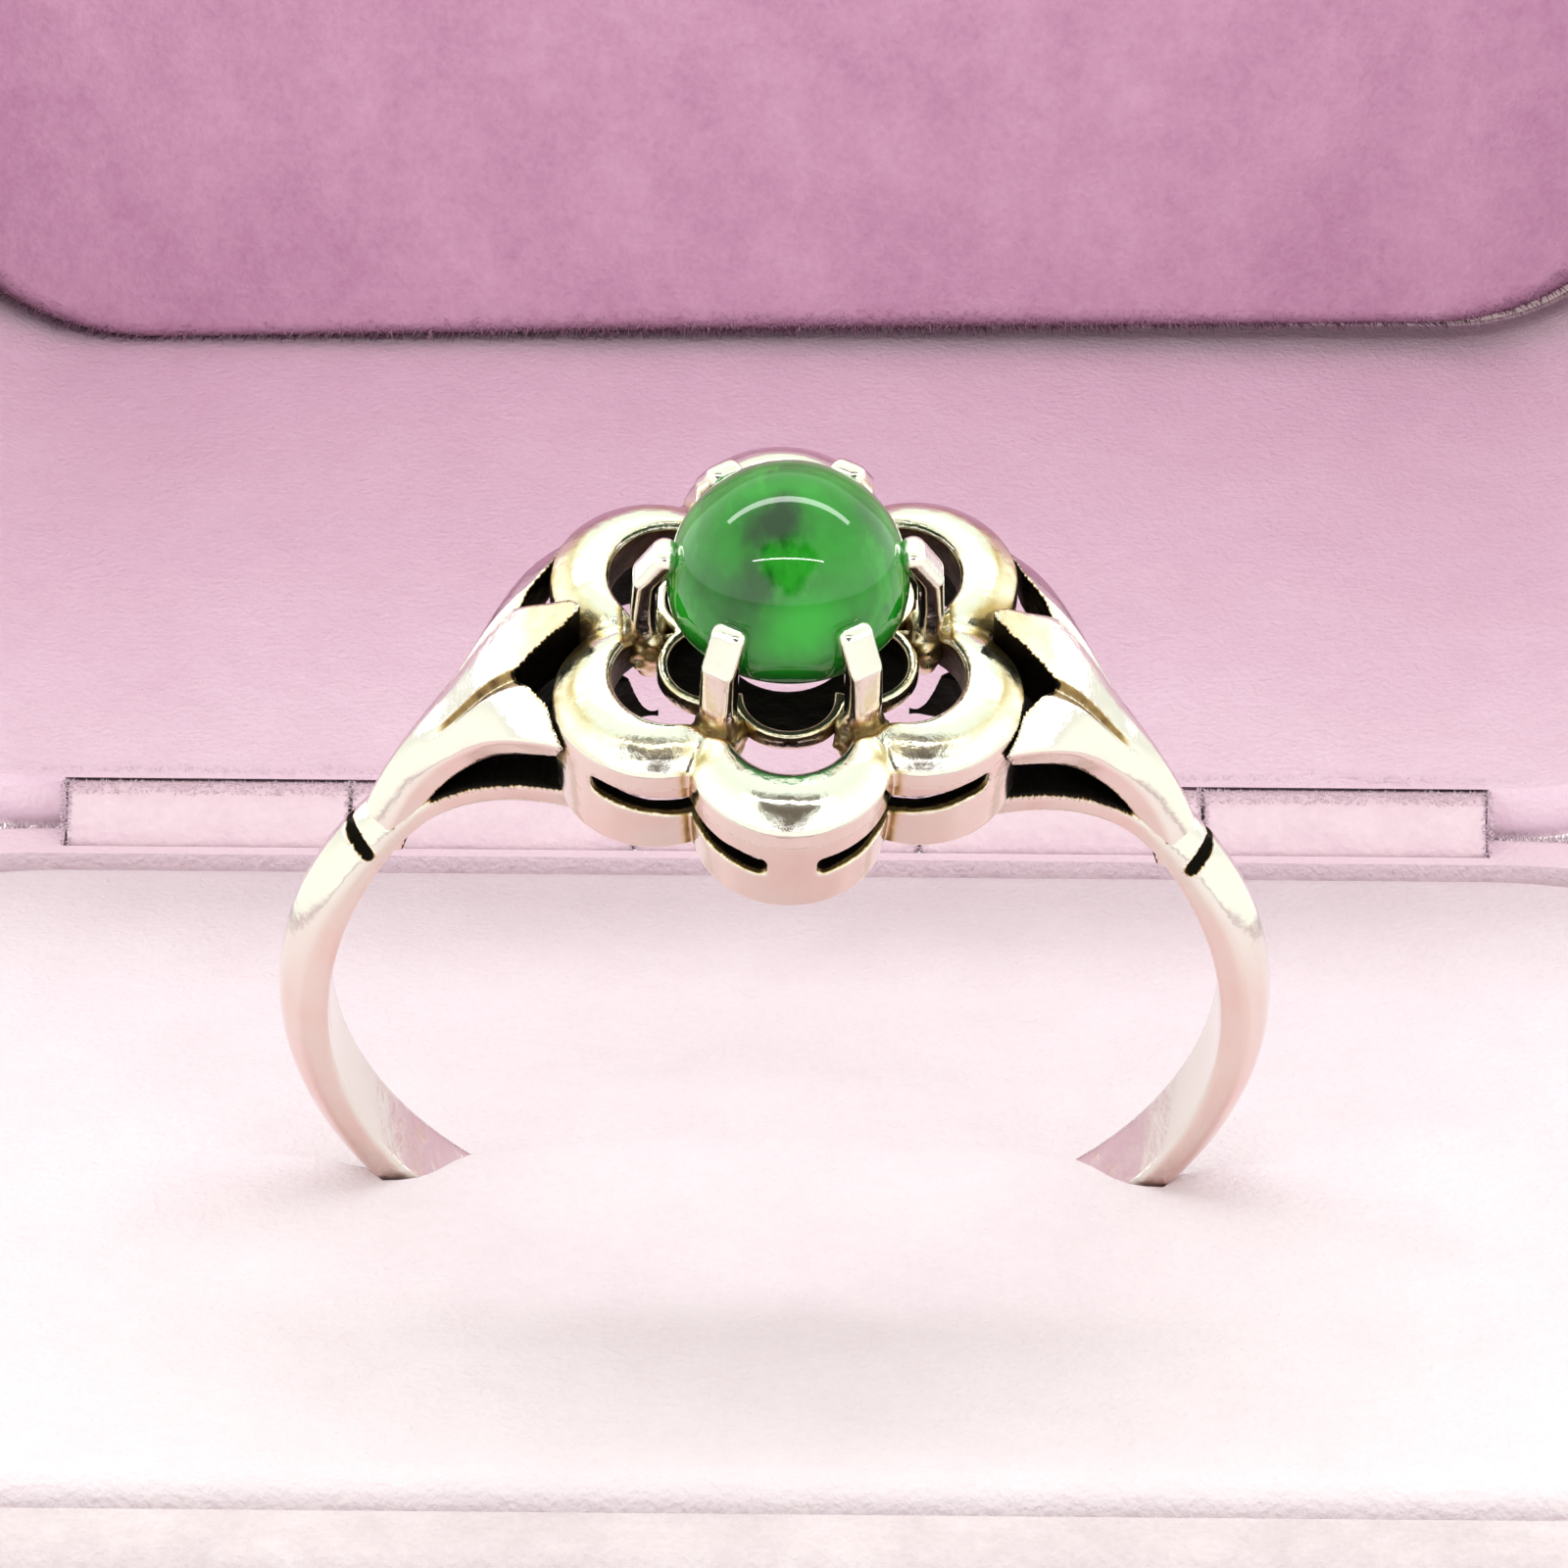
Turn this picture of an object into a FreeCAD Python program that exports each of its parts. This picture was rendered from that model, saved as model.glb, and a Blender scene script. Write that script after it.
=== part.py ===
import FreeCAD, Part
import math
import os
import re
import Sketcher

# A velvet-covered clamshell ring box, open, with a ring pressed into its slit cushion.
# Millimetres. +Z is up, the front of the box faces -Y, and the origin is the middle of its underside.
#
# Pieces are drawn in one of three local frames and then seated in the box's frame:
#   base  origin in the middle of the base's rim plane, with the tub below it
#   lid   origin in the middle of the lid's rim plane, drawn as a tub that stands on its top
#   ring  origin in the middle of the finger hole, +Z towards the head, +Y towards the back

SIZES = {
    # box
    "box_width": 50.0,
    "box_depth": 36.0,
    "corner_round": 9.5,
    "base_height": 20.0,
    "base_draft": 4.0,
    "lid_height": 24.0,
    "lid_draft": 6.0,
    "rim_gap": 0.1,
    "base_rim_round": 0.7,
    "lid_rim_round": 1.0,
    "foot_round": 1.5,
    "lid_round": 3.0,
    "cover": 0.3,
    "base_rim": 2.0,
    "base_floor": 1.4,
    "lid_wall": 1.0,
    "lining": 0.3,
    "felt": 0.6,
    "felt_inset": 2.5,
    # hinge
    "hinge_inset": 0.5,
    "knuckle_radius": 1.0,
    "knuckle_length": 6.0,
    "knuckle_gap": 0.1,
    "pin_radius": 0.4,
    "pin_clearance": 0.05,
    # cushion in the base
    "pad_gap": 0.2,
    "pad_proud": 0.2,
    "pad_round": 0.7,
    "pile": 0.4,
    "pad_skirt": 5.0,
    "foam": 11.6,
    "card": 0.8,
    "riser_wall": 1.0,
    "slit_length": 18.0,
    "slit_clearance": 0.1,
    "slit_depth": 5.0,
    # panel inside the lid
    "panel_gap": 0.3,
    "panel_round": 0.5,
    "panel_foam": 0.8,
    "panel_card": 0.5,
    # ring
    "ring_lean": 28.0,
    "ring_rise": 5.55,
    "finger_radius": 8.94,
    "shank_thickness": 0.82,
    "shank_side": 0.35,
    "shank_width": 1.7,
    "shank_turn": 310.0,
    # shoulders: x outward and z up from the middle of the finger hole, y half-widths
    "shoulder_root_x": 8.06,
    "shoulder_root_z": 5.4,
    "shoulder_middle_x": 6.6,
    "shoulder_middle_z": 8.6,
    "shoulder_tip_x": 4.2,
    "shoulder_tip_z": 10.8,
    "shoulder_tip_thickness": 1.0,
    "shoulder_under_x": 5.75,
    "shoulder_under_z": 8.5,
    "shoulder_foot_x": 7.1,
    "shoulder_foot_z": 6.3,
    "shoulder_toe_x": 7.45,
    "shoulder_toe_z": 4.95,
    "shoulder_root_half": 0.7,
    "shoulder_waist_half": 0.9,
    "shoulder_waist_z": 7.9,
    "shoulder_hip_half": 1.45,
    "shoulder_hip_z": 9.1,
    "rib_outer_half": 2.15,
    "rib_inner_half": 1.5,
    "rib_outer_z": 10.2,
    "rib_inner_z": 10.6,
    "split_half": 0.95,
    "split_z": 9.5,
    "leaf_half": 0.7,
    "leaf_side_z": 10.3,
    "leaf_tip_half": 0.2,
    "flower_pitch": 2.9,
    "lobe_radius": 1.95,
    "window_pitch": 2.5,
    "window_radius": 1.1,
    "gallery_bottom": 8.5,
    "gallery_top": 9.95,
    "gallery_wall": 0.4,
    "slot_height": 0.4,
    "slot_start": 0.5,
    "slot_end": 3.7,
    "flower_top": 10.85,
    "flower_edge": 0.4,
    "collet_bottom": 9.0,
    "collet_foot_radius": 1.9,
    "collet_radius": 2.45,
    "collet_wall": 0.3,
    "stone_radius": 2.24,
    "stone_girdle": 11.87,
    "stone_seat": 11.25,
    "prong_width": 0.65,
}

LOBES = 6
KNUCKLES = 5
BASE_KNUCKLES = (0, 2, 4)
LID_KNUCKLES = (1, 3)
SAME_PLACE = 1e-3

doc = FreeCAD.newDocument("ring_box")
sheet = doc.addObject("Spreadsheet::Sheet", "Sizes")
for row, (alias, value) in enumerate(SIZES.items(), start=1):
    sheet.set(f"A{row}", alias)
    sheet.set(f"B{row}", str(value))
    sheet.setAlias(f"B{row}", alias)
doc.recompute()

ALIAS = re.compile(r"\b(" + "|".join(SIZES) + r")\b")
nodes = {}


def bound(text):
    """The expression with each alias led by the name of the sheet."""
    return ALIAS.sub(r"Sizes.\1", text)


def value_of(text):
    """What the expression gives with the sheet as it is."""
    return float(sheet.evalExpression(bound(text)))


def bind(item, prop, text):
    """Tie one property of an object to an expression in the sheet's sizes."""
    item.setExpression(prop, bound(text))


# --- sketches -----------------------------------------------------------------------------------

def new_body(name):
    return doc.addObject("PartDesign::Body", name)


def new_sketch(body, name, role="XY_Plane", lift=None):
    """A sketch on one of the body's own origin planes, lifted off it by an expression."""
    sketch = body.newObject("Sketcher::SketchObject", name)
    plane = next(item for item in body.Origin.OriginFeatures if item.Role == role)
    sketch.AttachmentSupport = [(plane, "")]
    sketch.MapMode = "FlatFace"
    if lift is not None:
        bind(sketch, "AttachmentOffset.Base.z", lift)
    return sketch


def hold(sketch, kind, references, label, text):
    """One dimension of a sketch, named and bound."""
    index = sketch.addConstraint(Sketcher.Constraint(kind, *references, value_of(text)))
    sketch.renameConstraint(index, label)
    bind(sketch, f"Constraints.{label}", text)


def draw_outline(sketch, corners, arcs=None):
    """A closed outline through corners, each a pair of expressions.

    arcs gives, for the edge that leaves corner i, the expressions of one more point that it passes.
    """
    arcs = arcs or {}
    points = [FreeCAD.Vector(value_of(x), value_of(y), 0) for x, y in corners]
    count = len(points)
    ends = {}
    middles = {}
    for i in range(count):
        start, stop = points[i], points[(i + 1) % count]
        if i not in arcs:
            edge = sketch.addGeometry(Part.LineSegment(start, stop))
            ends[i] = (edge, 1, 2)
            continue
        middle = FreeCAD.Vector(value_of(arcs[i][0]), value_of(arcs[i][1]), 0)
        edge = sketch.addGeometry(Part.Arc(start, middle, stop))
        begins_at_start = sketch.getPoint(edge, 1).distanceToPoint(start) < SAME_PLACE
        ends[i] = (edge, 1, 2) if begins_at_start else (edge, 2, 1)
        middles[edge] = arcs[i]
    for i in range(count):
        edge, _, last = ends[i]
        following, first, _ = ends[(i + 1) % count]
        sketch.addConstraint(Sketcher.Constraint("Coincident", edge, last, following, first))
    for i, (x, y) in enumerate(corners):
        edge, first, _ = ends[i]
        hold(sketch, "DistanceX", (-1, 1, edge, first), f"x{i}", x)
        hold(sketch, "DistanceY", (-1, 1, edge, first), f"y{i}", y)
    for edge, (x, y) in middles.items():
        point = FreeCAD.Vector(value_of(x), value_of(y), 0)
        mark = sketch.addGeometry(Part.Point(point), True)
        sketch.addConstraint(Sketcher.Constraint("PointOnObject", mark, 1, edge))
        hold(sketch, "DistanceX", (-1, 1, mark, 1), f"through_x{edge}", x)
        hold(sketch, "DistanceY", (-1, 1, mark, 1), f"through_y{edge}", y)


def draw_rounded_rectangle(sketch, width, depth, corner):
    """A rounded rectangle about the sketch's origin, held by its width, depth and corner radius."""
    half_x = value_of(f"({width}) / 2")
    half_y = value_of(f"({depth}) / 2")
    r = value_of(corner)
    quarter = math.pi / 2
    signs = ((1, 1), (-1, 1), (-1, -1), (1, -1))
    for turn, (sx, sy) in enumerate(signs):
        centre = FreeCAD.Vector(sx * (half_x - r), sy * (half_y - r), 0)
        circle = Part.Circle(centre, FreeCAD.Vector(0, 0, 1), r)
        sketch.addGeometry(Part.ArcOfCircle(circle, turn * quarter, (turn + 1) * quarter))
    for turn in range(4):
        start = sketch.getPoint(turn, 2)
        stop = sketch.getPoint((turn + 1) % 4, 1)
        line = sketch.addGeometry(Part.LineSegment(start, stop))
        sketch.addConstraint(Sketcher.Constraint("Tangent", turn, 2, line, 1))
        sketch.addConstraint(Sketcher.Constraint("Tangent", line, 2, (turn + 1) % 4, 1))
        direction = "Horizontal" if turn % 2 == 0 else "Vertical"
        sketch.addConstraint(Sketcher.Constraint(direction, line))
    for turn in (1, 2, 3):
        sketch.addConstraint(Sketcher.Constraint("Equal", 0, turn))
    sketch.addConstraint(Sketcher.Constraint("Symmetric", 0, 3, 2, 3, -1, 1))
    hold(sketch, "Radius", (0,), "corner", corner)
    hold(sketch, "DistanceX", (1, 3, 0, 3), "span_x", f"({width}) - 2 * ({corner})")
    hold(sketch, "DistanceY", (3, 3, 0, 3), "span_y", f"({depth}) - 2 * ({corner})")


def draw_hexafoil(sketch, pitch, lobe):
    """Six equal arcs that bulge out of a hexagon, with one lobe towards -Y."""
    rho = value_of(pitch)
    r = value_of(lobe)
    half_step = math.pi / LOBES
    valley = rho * math.cos(half_step) + math.sqrt(r * r - (rho * math.sin(half_step)) ** 2)
    for i in range(LOBES):
        angle = -math.pi / 2 + 2 * i * half_step
        centre = polar(rho, angle)
        start = polar(valley, angle - half_step) - centre
        stop = polar(valley, angle + half_step) - centre
        circle = Part.Circle(centre, FreeCAD.Vector(0, 0, 1), r)
        arc = Part.ArcOfCircle(circle, math.atan2(start.y, start.x), math.atan2(stop.y, stop.x))
        sketch.addGeometry(arc)
    for i in range(LOBES):
        sketch.addConstraint(Sketcher.Constraint("Coincident", i, 2, (i + 1) % LOBES, 1))
    for i in range(1, LOBES):
        sketch.addConstraint(Sketcher.Constraint("Equal", 0, i))
    hold(sketch, "Radius", (0,), "lobe", lobe)
    for i in range(LOBES):
        angle = f"({360 * i // LOBES - 90} * 1 deg)"
        hold(sketch, "DistanceX", (-1, 1, i, 3), f"x{i}", f"({pitch}) * cos{angle}")
        hold(sketch, "DistanceY", (-1, 1, i, 3), f"y{i}", f"({pitch}) * sin{angle}")


def polar(radius, angle):
    return FreeCAD.Vector(radius * math.cos(angle), radius * math.sin(angle), 0)


# --- features -----------------------------------------------------------------------------------

def pad(body, sketch, length, taper=None, down=False, midplane=False):
    """A pad of a sketch; a taper narrows it away from the sketch."""
    feature = body.newObject("PartDesign::Pad", f"{body.Name}_pad_{sketch.Name}")
    feature.Profile = sketch
    bind(feature, "Length", length)
    feature.Reversed = down
    if midplane:
        feature.SideType = "Symmetric"
    if taper is not None:
        bind(feature, "TaperAngle", f"-({taper})")
    doc.recompute()
    return feature


def pocket(body, sketch, length, down=True, midplane=False):
    """A pocket that must take material away."""
    before = body.Tip.Shape.Volume
    feature = body.newObject("PartDesign::Pocket", f"{body.Name}_pocket_{sketch.Name}")
    feature.Profile = sketch
    bind(feature, "Length", length)
    feature.Reversed = not down
    if midplane:
        feature.SideType = "Symmetric"
    doc.recompute()
    if feature.Shape.Volume > before - SAME_PLACE:
        raise RuntimeError(f"{feature.Name} cut nothing")
    return feature


def round_edges(body, feature, height, radius):
    """A fillet along the outline that lies at one height of the body's own frame."""
    level = value_of(height)
    names = []
    for number, edge in enumerate(feature.Shape.Edges, start=1):
        box = edge.BoundBox
        if abs(box.ZMin - level) < SAME_PLACE and abs(box.ZMax - level) < SAME_PLACE:
            names.append(f"Edge{number}")
    if not names:
        raise RuntimeError(f"no edge of {feature.Name} lies at {height}")
    fillet = body.newObject("PartDesign::Fillet", f"{body.Name}_round_{len(body.Group)}")
    fillet.Base = (feature, names)
    bind(fillet, "Radius", radius)
    doc.recompute()
    return fillet


def block(name, tub, inset="0", drop="0", height="1", top_round=None, foot_round=None):
    """A drafted block with rounded corners: the space inside one tub, inset from its outside.

    Its top face lies drop below the rim plane, where the draft has already narrowed it.
    """
    slope = f"({drop}) * tan({tub}_draft * 1 deg)"
    narrower = f"(({inset}) + {slope})"
    body = new_body(name)
    sketch = new_sketch(body, f"{name}_outline", lift=f"-({drop})")
    width = f"box_width - 2 * {narrower}"
    depth = f"box_depth - 2 * {narrower}"
    draw_rounded_rectangle(sketch, width, depth, f"corner_round - {narrower}")
    feature = pad(body, sketch, height, taper=f"{tub}_draft", down=True)
    if foot_round is not None:
        feature = round_edges(body, feature, f"-({drop}) - ({height})", foot_round)
    if top_round is not None:
        round_edges(body, feature, f"-({drop})", top_round)
    return body


def cut(name, base, *tools):
    """The base with every tool taken away."""
    for number, tool in enumerate(tools, start=1):
        last = number == len(tools)
        feature = doc.addObject("Part::Cut", name if last else f"{name}_cut_{number}")
        feature.Base = base
        feature.Tool = tool
        base = feature
    return base


def fuse(name, *pieces):
    feature = doc.addObject("Part::MultiFuse", name)
    feature.Shapes = list(pieces)
    return feature


def cylinder_along_x(name, start, length, radius, y, z):
    item = doc.addObject("Part::Cylinder", name)
    item.Placement = FreeCAD.Placement(FreeCAD.Vector(), FreeCAD.Rotation(FreeCAD.Vector(0, 1, 0), 90))
    bind(item, "Placement.Base.x", start)
    bind(item, "Placement.Base.y", y)
    bind(item, "Placement.Base.z", z)
    bind(item, "Height", length)
    bind(item, "Radius", radius)
    return item


# --- seats: where each local frame stands in the box's frame ---------------------------------------

def seat_base(item):
    bind(item, "Placement.Base.z", "base_height")


def about_x(degrees):
    """A turn about X. The axis is kept when an expression later sets the angle, if the turn isn't nil."""
    return FreeCAD.Placement(FreeCAD.Vector(), FreeCAD.Rotation(FreeCAD.Vector(1, 0, 0), degrees))


def seat_lid(item):
    """The lid stands open at a right angle, turned about the hinge axis."""
    item.Placement = about_x(90)
    bind(item, "Placement.Base.y", "box_depth / 2 - hinge_inset + rim_gap")
    bind(item, "Placement.Base.z", "base_height + box_depth / 2 - hinge_inset")


def seat_ring(item):
    """The ring leans forward in the slit, which holds it below the middle of its finger hole."""
    item.Placement = about_x(value_of("ring_lean"))
    bind(item, "Placement.Rotation.Angle", "ring_lean")
    bind(item, "Placement.Base.y", "-ring_rise * sin(ring_lean * 1 deg)")
    bind(item, "Placement.Base.z", "base_height + ring_rise * cos(ring_lean * 1 deg)")


def keep(name, item, seat=None):
    """Make an object one of the named pieces of the ring box."""
    if seat is not None:
        seat(item)
    item.Label = name
    nodes[name] = item
    return item


# --- hinge ----------------------------------------------------------------------------------------

KNUCKLE_PITCH = "(knuckle_length + knuckle_gap)"
HINGE_LENGTH = f"({KNUCKLES} * {KNUCKLE_PITCH} - knuckle_gap)"
BASE_AXIS = ("box_depth / 2 - hinge_inset", "0")
LID_AXIS = ("hinge_inset - box_depth / 2", "rim_gap")


def knuckle_cylinders(name, axis, which, radius, margin="0"):
    """One cylinder per knuckle in which, longer than it by margin at each end."""
    y, z = axis
    made = []
    for k in which:
        start = f"-{HINGE_LENGTH} / 2 + {k} * {KNUCKLE_PITCH} - ({margin})"
        length = f"knuckle_length + 2 * ({margin})"
        made.append(cylinder_along_x(f"{name}_{k}", start, length, radius, y, z))
    return made


def whole_hinge_cylinder(name, axis, radius, margin="0"):
    y, z = axis
    length = f"{HINGE_LENGTH} + 2 * ({margin})"
    return cylinder_along_x(name, f"-({length}) / 2", length, radius, y, z)


def hinged_shell(name, blank, well, axis, own, other, bore):
    """A moulded tub with its own knuckles on the rear rim and room for the other's to turn."""
    sweep = "knuckle_radius + knuckle_gap"
    room = knuckle_cylinders(f"{name}_room", axis, other, sweep, margin="knuckle_gap")
    hollow = cut(f"{name}_hollow", blank, well, *room)
    knuckles = knuckle_cylinders(f"{name}_knuckle", axis, own, "knuckle_radius")
    joined = fuse(f"{name}_joined", hollow, *knuckles)
    return cut(name, joined, whole_hinge_cylinder(f"{name}_bore", axis, bore, margin="1"))


def make_hinge_pin():
    pin = whole_hinge_cylinder("hinge_pin", BASE_AXIS, "pin_radius")
    bind(pin, "Placement.Base.z", "base_height")
    keep("hinge_pin", pin)


# --- base -------------------------------------------------------------------------------------------

BASE_BODY = "(base_height - felt)"
WELL_DEPTH = "(base_height - felt - cover - base_floor)"


def make_base_shell_and_cover():
    """The moulded tub, and the velvet that wraps it from the underside up and over the rim."""
    outside = block(
        "base_outside", "base", height=BASE_BODY, top_round="base_rim_round", foot_round="foot_round",
    )
    solid = block(
        "base_solid", "base", inset="cover", drop="cover", height=f"{BASE_BODY} - 2 * cover",
        top_round="base_rim_round - cover", foot_round="foot_round - cover",
    )
    well = block("base_well", "base", inset="base_rim", height=WELL_DEPTH)
    shell = hinged_shell("base_shell", solid, well, BASE_AXIS, BASE_KNUCKLES, LID_KNUCKLES, "pin_radius")
    sweep = whole_hinge_cylinder("base_cover_sweep", BASE_AXIS, "knuckle_radius + knuckle_gap", "knuckle_gap")
    keep("base_shell", shell, seat_base)
    keep("base_cover", cut("base_cover", outside, solid, well, sweep), seat_base)


def make_base_felt():
    """The felt sheet under the base, which is what the box stands on."""
    felt = block("base_felt", "base", inset="felt_inset", drop=BASE_BODY, height="felt")
    keep("base_felt", felt, seat_base)


# --- cushion ------------------------------------------------------------------------------------------

PAD_INSET = "(base_rim + pad_gap)"
FOAM_TOP = "(pile - pad_proud)"
CARD_TOP = f"({FOAM_TOP} + foam)"
RISER_TOP = f"({CARD_TOP} + card)"


def make_slit(name):
    """The room that the ring's shank takes up in the cushion, leaning as the ring leans."""
    slit = doc.addObject("Part::Box", name)
    wide = "(shank_width + 2 * slit_clearance)"
    lean = "(ring_lean * 1 deg)"
    foot = "(finger_radius + shank_thickness + slit_clearance)"
    bind(slit, "Length", "slit_length")
    bind(slit, "Width", wide)
    bind(slit, "Height", f"{foot} - ring_rise + slit_depth")
    slit.Placement = about_x(value_of("ring_lean"))
    bind(slit, "Placement.Rotation.Angle", "ring_lean")
    bind(slit, "Placement.Base.x", "-slit_length / 2")
    bind(slit, "Placement.Base.y", f"({foot} - ring_rise) * sin{lean} - {wide} / 2 * cos{lean}")
    bind(slit, "Placement.Base.z", f"(ring_rise - {foot}) * cos{lean} - {wide} / 2 * sin{lean}")
    return slit


def make_cushion():
    """Slit foam under a flocked velvet sheet, on a card and a folded card riser."""
    velvet = block(
        "pad_velvet_solid", "base", inset=PAD_INSET, drop="-pad_proud", height="pad_skirt",
        top_round="pad_round",
    )
    foam = block(
        "pad_foam_solid", "base", inset=f"{PAD_INSET} + pile", drop=FOAM_TOP, height="foam",
        top_round="pad_round - pile",
    )
    keep("pad_velvet", cut("pad_velvet", velvet, foam, make_slit("velvet_slit")), seat_base)
    keep("pad_foam", cut("pad_foam", foam, make_slit("foam_slit")), seat_base)

    card = block("pad_card", "base", inset=PAD_INSET, drop=CARD_TOP, height="card")
    keep("pad_card", card, seat_base)

    tall = f"{WELL_DEPTH} - {RISER_TOP}"
    outer = block("riser_outer", "base", inset=PAD_INSET, drop=RISER_TOP, height=tall)
    inner = block("riser_inner", "base", inset=f"{PAD_INSET} + riser_wall", drop=RISER_TOP, height=tall)
    keep("pad_riser", cut("pad_riser", outer, inner), seat_base)


# --- lid ------------------------------------------------------------------------------------------------

LID_INSIDE = "(lid_height - cover - lid_wall)"
LINING_INSET = "(cover + lid_wall)"
PANEL_INSET = "(cover + lid_wall + lining + panel_gap)"


def make_lid_shell_and_cover():
    """The moulded lid, its velvet cover and the flocked lining on the inside of its walls."""
    outside = block(
        "lid_outside", "lid", height="lid_height", top_round="lid_rim_round", foot_round="lid_round",
    )
    solid = block(
        "lid_solid", "lid", inset="cover", drop="cover", height="lid_height - 2 * cover",
        top_round="lid_rim_round - cover", foot_round="lid_round - cover",
    )
    well = block("lid_well", "lid", inset=LINING_INSET, height=LID_INSIDE)
    bore = "pin_radius + pin_clearance"
    shell = hinged_shell("lid_shell", solid, well, LID_AXIS, LID_KNUCKLES, BASE_KNUCKLES, bore)
    sweep = whole_hinge_cylinder("lid_cover_sweep", LID_AXIS, "knuckle_radius + knuckle_gap", "knuckle_gap")
    keep("lid_shell", shell, seat_lid)
    keep("lid_cover", cut("lid_cover", outside, solid, well, sweep), seat_lid)

    inner = block("lining_inner", "lid", inset=f"{LINING_INSET} + lining", height=LID_INSIDE)
    room = whole_hinge_cylinder("lining_sweep", LID_AXIS, "knuckle_radius + knuckle_gap", "knuckle_gap")
    keep("lid_lining", cut("lid_lining", well, inner, room), seat_lid)


def make_lid_panel():
    """A velvet-wrapped foam and card panel that is pressed into the top of the lid."""
    thick = "(pile + panel_foam + panel_card)"
    face = f"({LID_INSIDE} - {thick})"
    velvet = block(
        "panel_velvet_solid", "lid", inset=PANEL_INSET, drop=face, height="pile + panel_foam",
        top_round="panel_round",
    )
    foam_room, foam = (
        block(name, "lid", inset=f"{PANEL_INSET} + pile", drop=f"{face} + pile", height="panel_foam")
        for name in ("panel_foam_room", "lid_foam")
    )
    card = block("lid_card", "lid", inset=PANEL_INSET, drop=f"{LID_INSIDE} - panel_card", height="panel_card")
    keep("lid_panel", cut("lid_panel", velvet, foam_room), seat_lid)
    keep("lid_foam", foam, seat_lid)
    keep("lid_card", card, seat_lid)


# --- ring ---------------------------------------------------------------------------------------------

def make_shank():
    """The band: flat inside, crowned outside, open under the head."""
    body = new_body("shank_solid")
    sketch = new_sketch(body, "shank_section", "YZ_Plane")
    side = "(finger_radius + shank_side)"
    corners = [
        ("-shank_width / 2", "-finger_radius"),
        ("-shank_width / 2", f"-{side}"),
        ("shank_width / 2", f"-{side}"),
        ("shank_width / 2", "-finger_radius"),
    ]
    draw_outline(sketch, corners, arcs={1: ("0", "-finger_radius - shank_thickness")})
    band = body.newObject("PartDesign::Revolution", "shank_band")
    band.Profile = sketch
    band.ReferenceAxis = (sketch, ["H_Axis"])
    bind(band, "Angle", "shank_turn")
    band.Midplane = True
    doc.recompute()
    return body


def make_shoulder(name, side, neighbours):
    """A crowned plate that leaves the shank and splits into a leaf between two ribs at the head."""
    front = new_body(f"{name}_front")
    outline = new_sketch(front, f"{name}_profile", "XZ_Plane")
    corners = [
        ("shoulder_root_x", "shoulder_root_z"),
        ("shoulder_tip_x", "shoulder_tip_z"),
        ("shoulder_tip_x", "shoulder_tip_z - shoulder_tip_thickness"),
        ("shoulder_foot_x", "shoulder_foot_z"),
        ("shoulder_toe_x", "shoulder_toe_z"),
    ]
    corners = [(f"{side} * {x}", z) for x, z in corners]
    arcs = {
        0: (f"{side} * shoulder_middle_x", "shoulder_middle_z"),
        2: (f"{side} * shoulder_under_x", "shoulder_under_z"),
    }
    draw_outline(outline, corners, arcs)
    pad(front, outline, "3 * stone_radius", midplane=True)

    end = new_body(f"{name}_end")
    spread = new_sketch(end, f"{name}_spread", "YZ_Plane")
    half = [
        ("shoulder_root_half", "shoulder_toe_z - shoulder_root_half"),
        ("shoulder_root_half", "shoulder_foot_z"),
        ("shoulder_waist_half", "shoulder_waist_z"),
        ("shoulder_hip_half", "shoulder_hip_z"),
        ("rib_outer_half", "rib_outer_z"),
        ("rib_inner_half", "rib_inner_z"),
        ("split_half", "split_z"),
        ("leaf_half", "leaf_side_z"),
        ("leaf_tip_half", "shoulder_tip_z + leaf_tip_half"),
    ]
    mirrored = [(f"-{y}", z) for y, z in reversed(half)]
    draw_outline(spread, half + mirrored)
    pad(end, spread, "3 * finger_radius", midplane=True)

    plate = doc.addObject("Part::Common", f"{name}_plate")
    plate.Base = front
    plate.Tool = end
    keep(name, cut(name, plate, *neighbours), seat_ring)


def hexafoil_block(name, lift, lobe, height):
    body = new_body(name)
    sketch = new_sketch(body, f"{name}_outline", lift=lift)
    draw_hexafoil(sketch, "flower_pitch", lobe)
    pad(body, sketch, height)
    return body


def make_gallery():
    """The upright wall under the flower, pierced by a long slot each side of the front and back."""
    body = hexafoil_block("gallery_solid", "gallery_bottom", "lobe_radius", "gallery_top - gallery_bottom")
    inside = new_sketch(body, "gallery_inside", lift="gallery_bottom")
    draw_hexafoil(inside, "flower_pitch", "lobe_radius - gallery_wall")
    pocket(body, inside, "gallery_top - gallery_bottom", down=False)
    middle = "(gallery_bottom + gallery_top) / 2"
    for side, word in ((-1, "left"), (1, "right")):
        slot = new_sketch(body, f"gallery_slot_{word}", "XZ_Plane")
        low = f"{middle} - slot_height / 2"
        high = f"{middle} + slot_height / 2"
        near = f"{side} * slot_start"
        far = f"{side} * slot_end"
        draw_outline(slot, [(near, low), (far, low), (far, high), (near, high)])
        pocket(body, slot, "4 * (flower_pitch + lobe_radius)", midplane=True)
    return body


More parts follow.
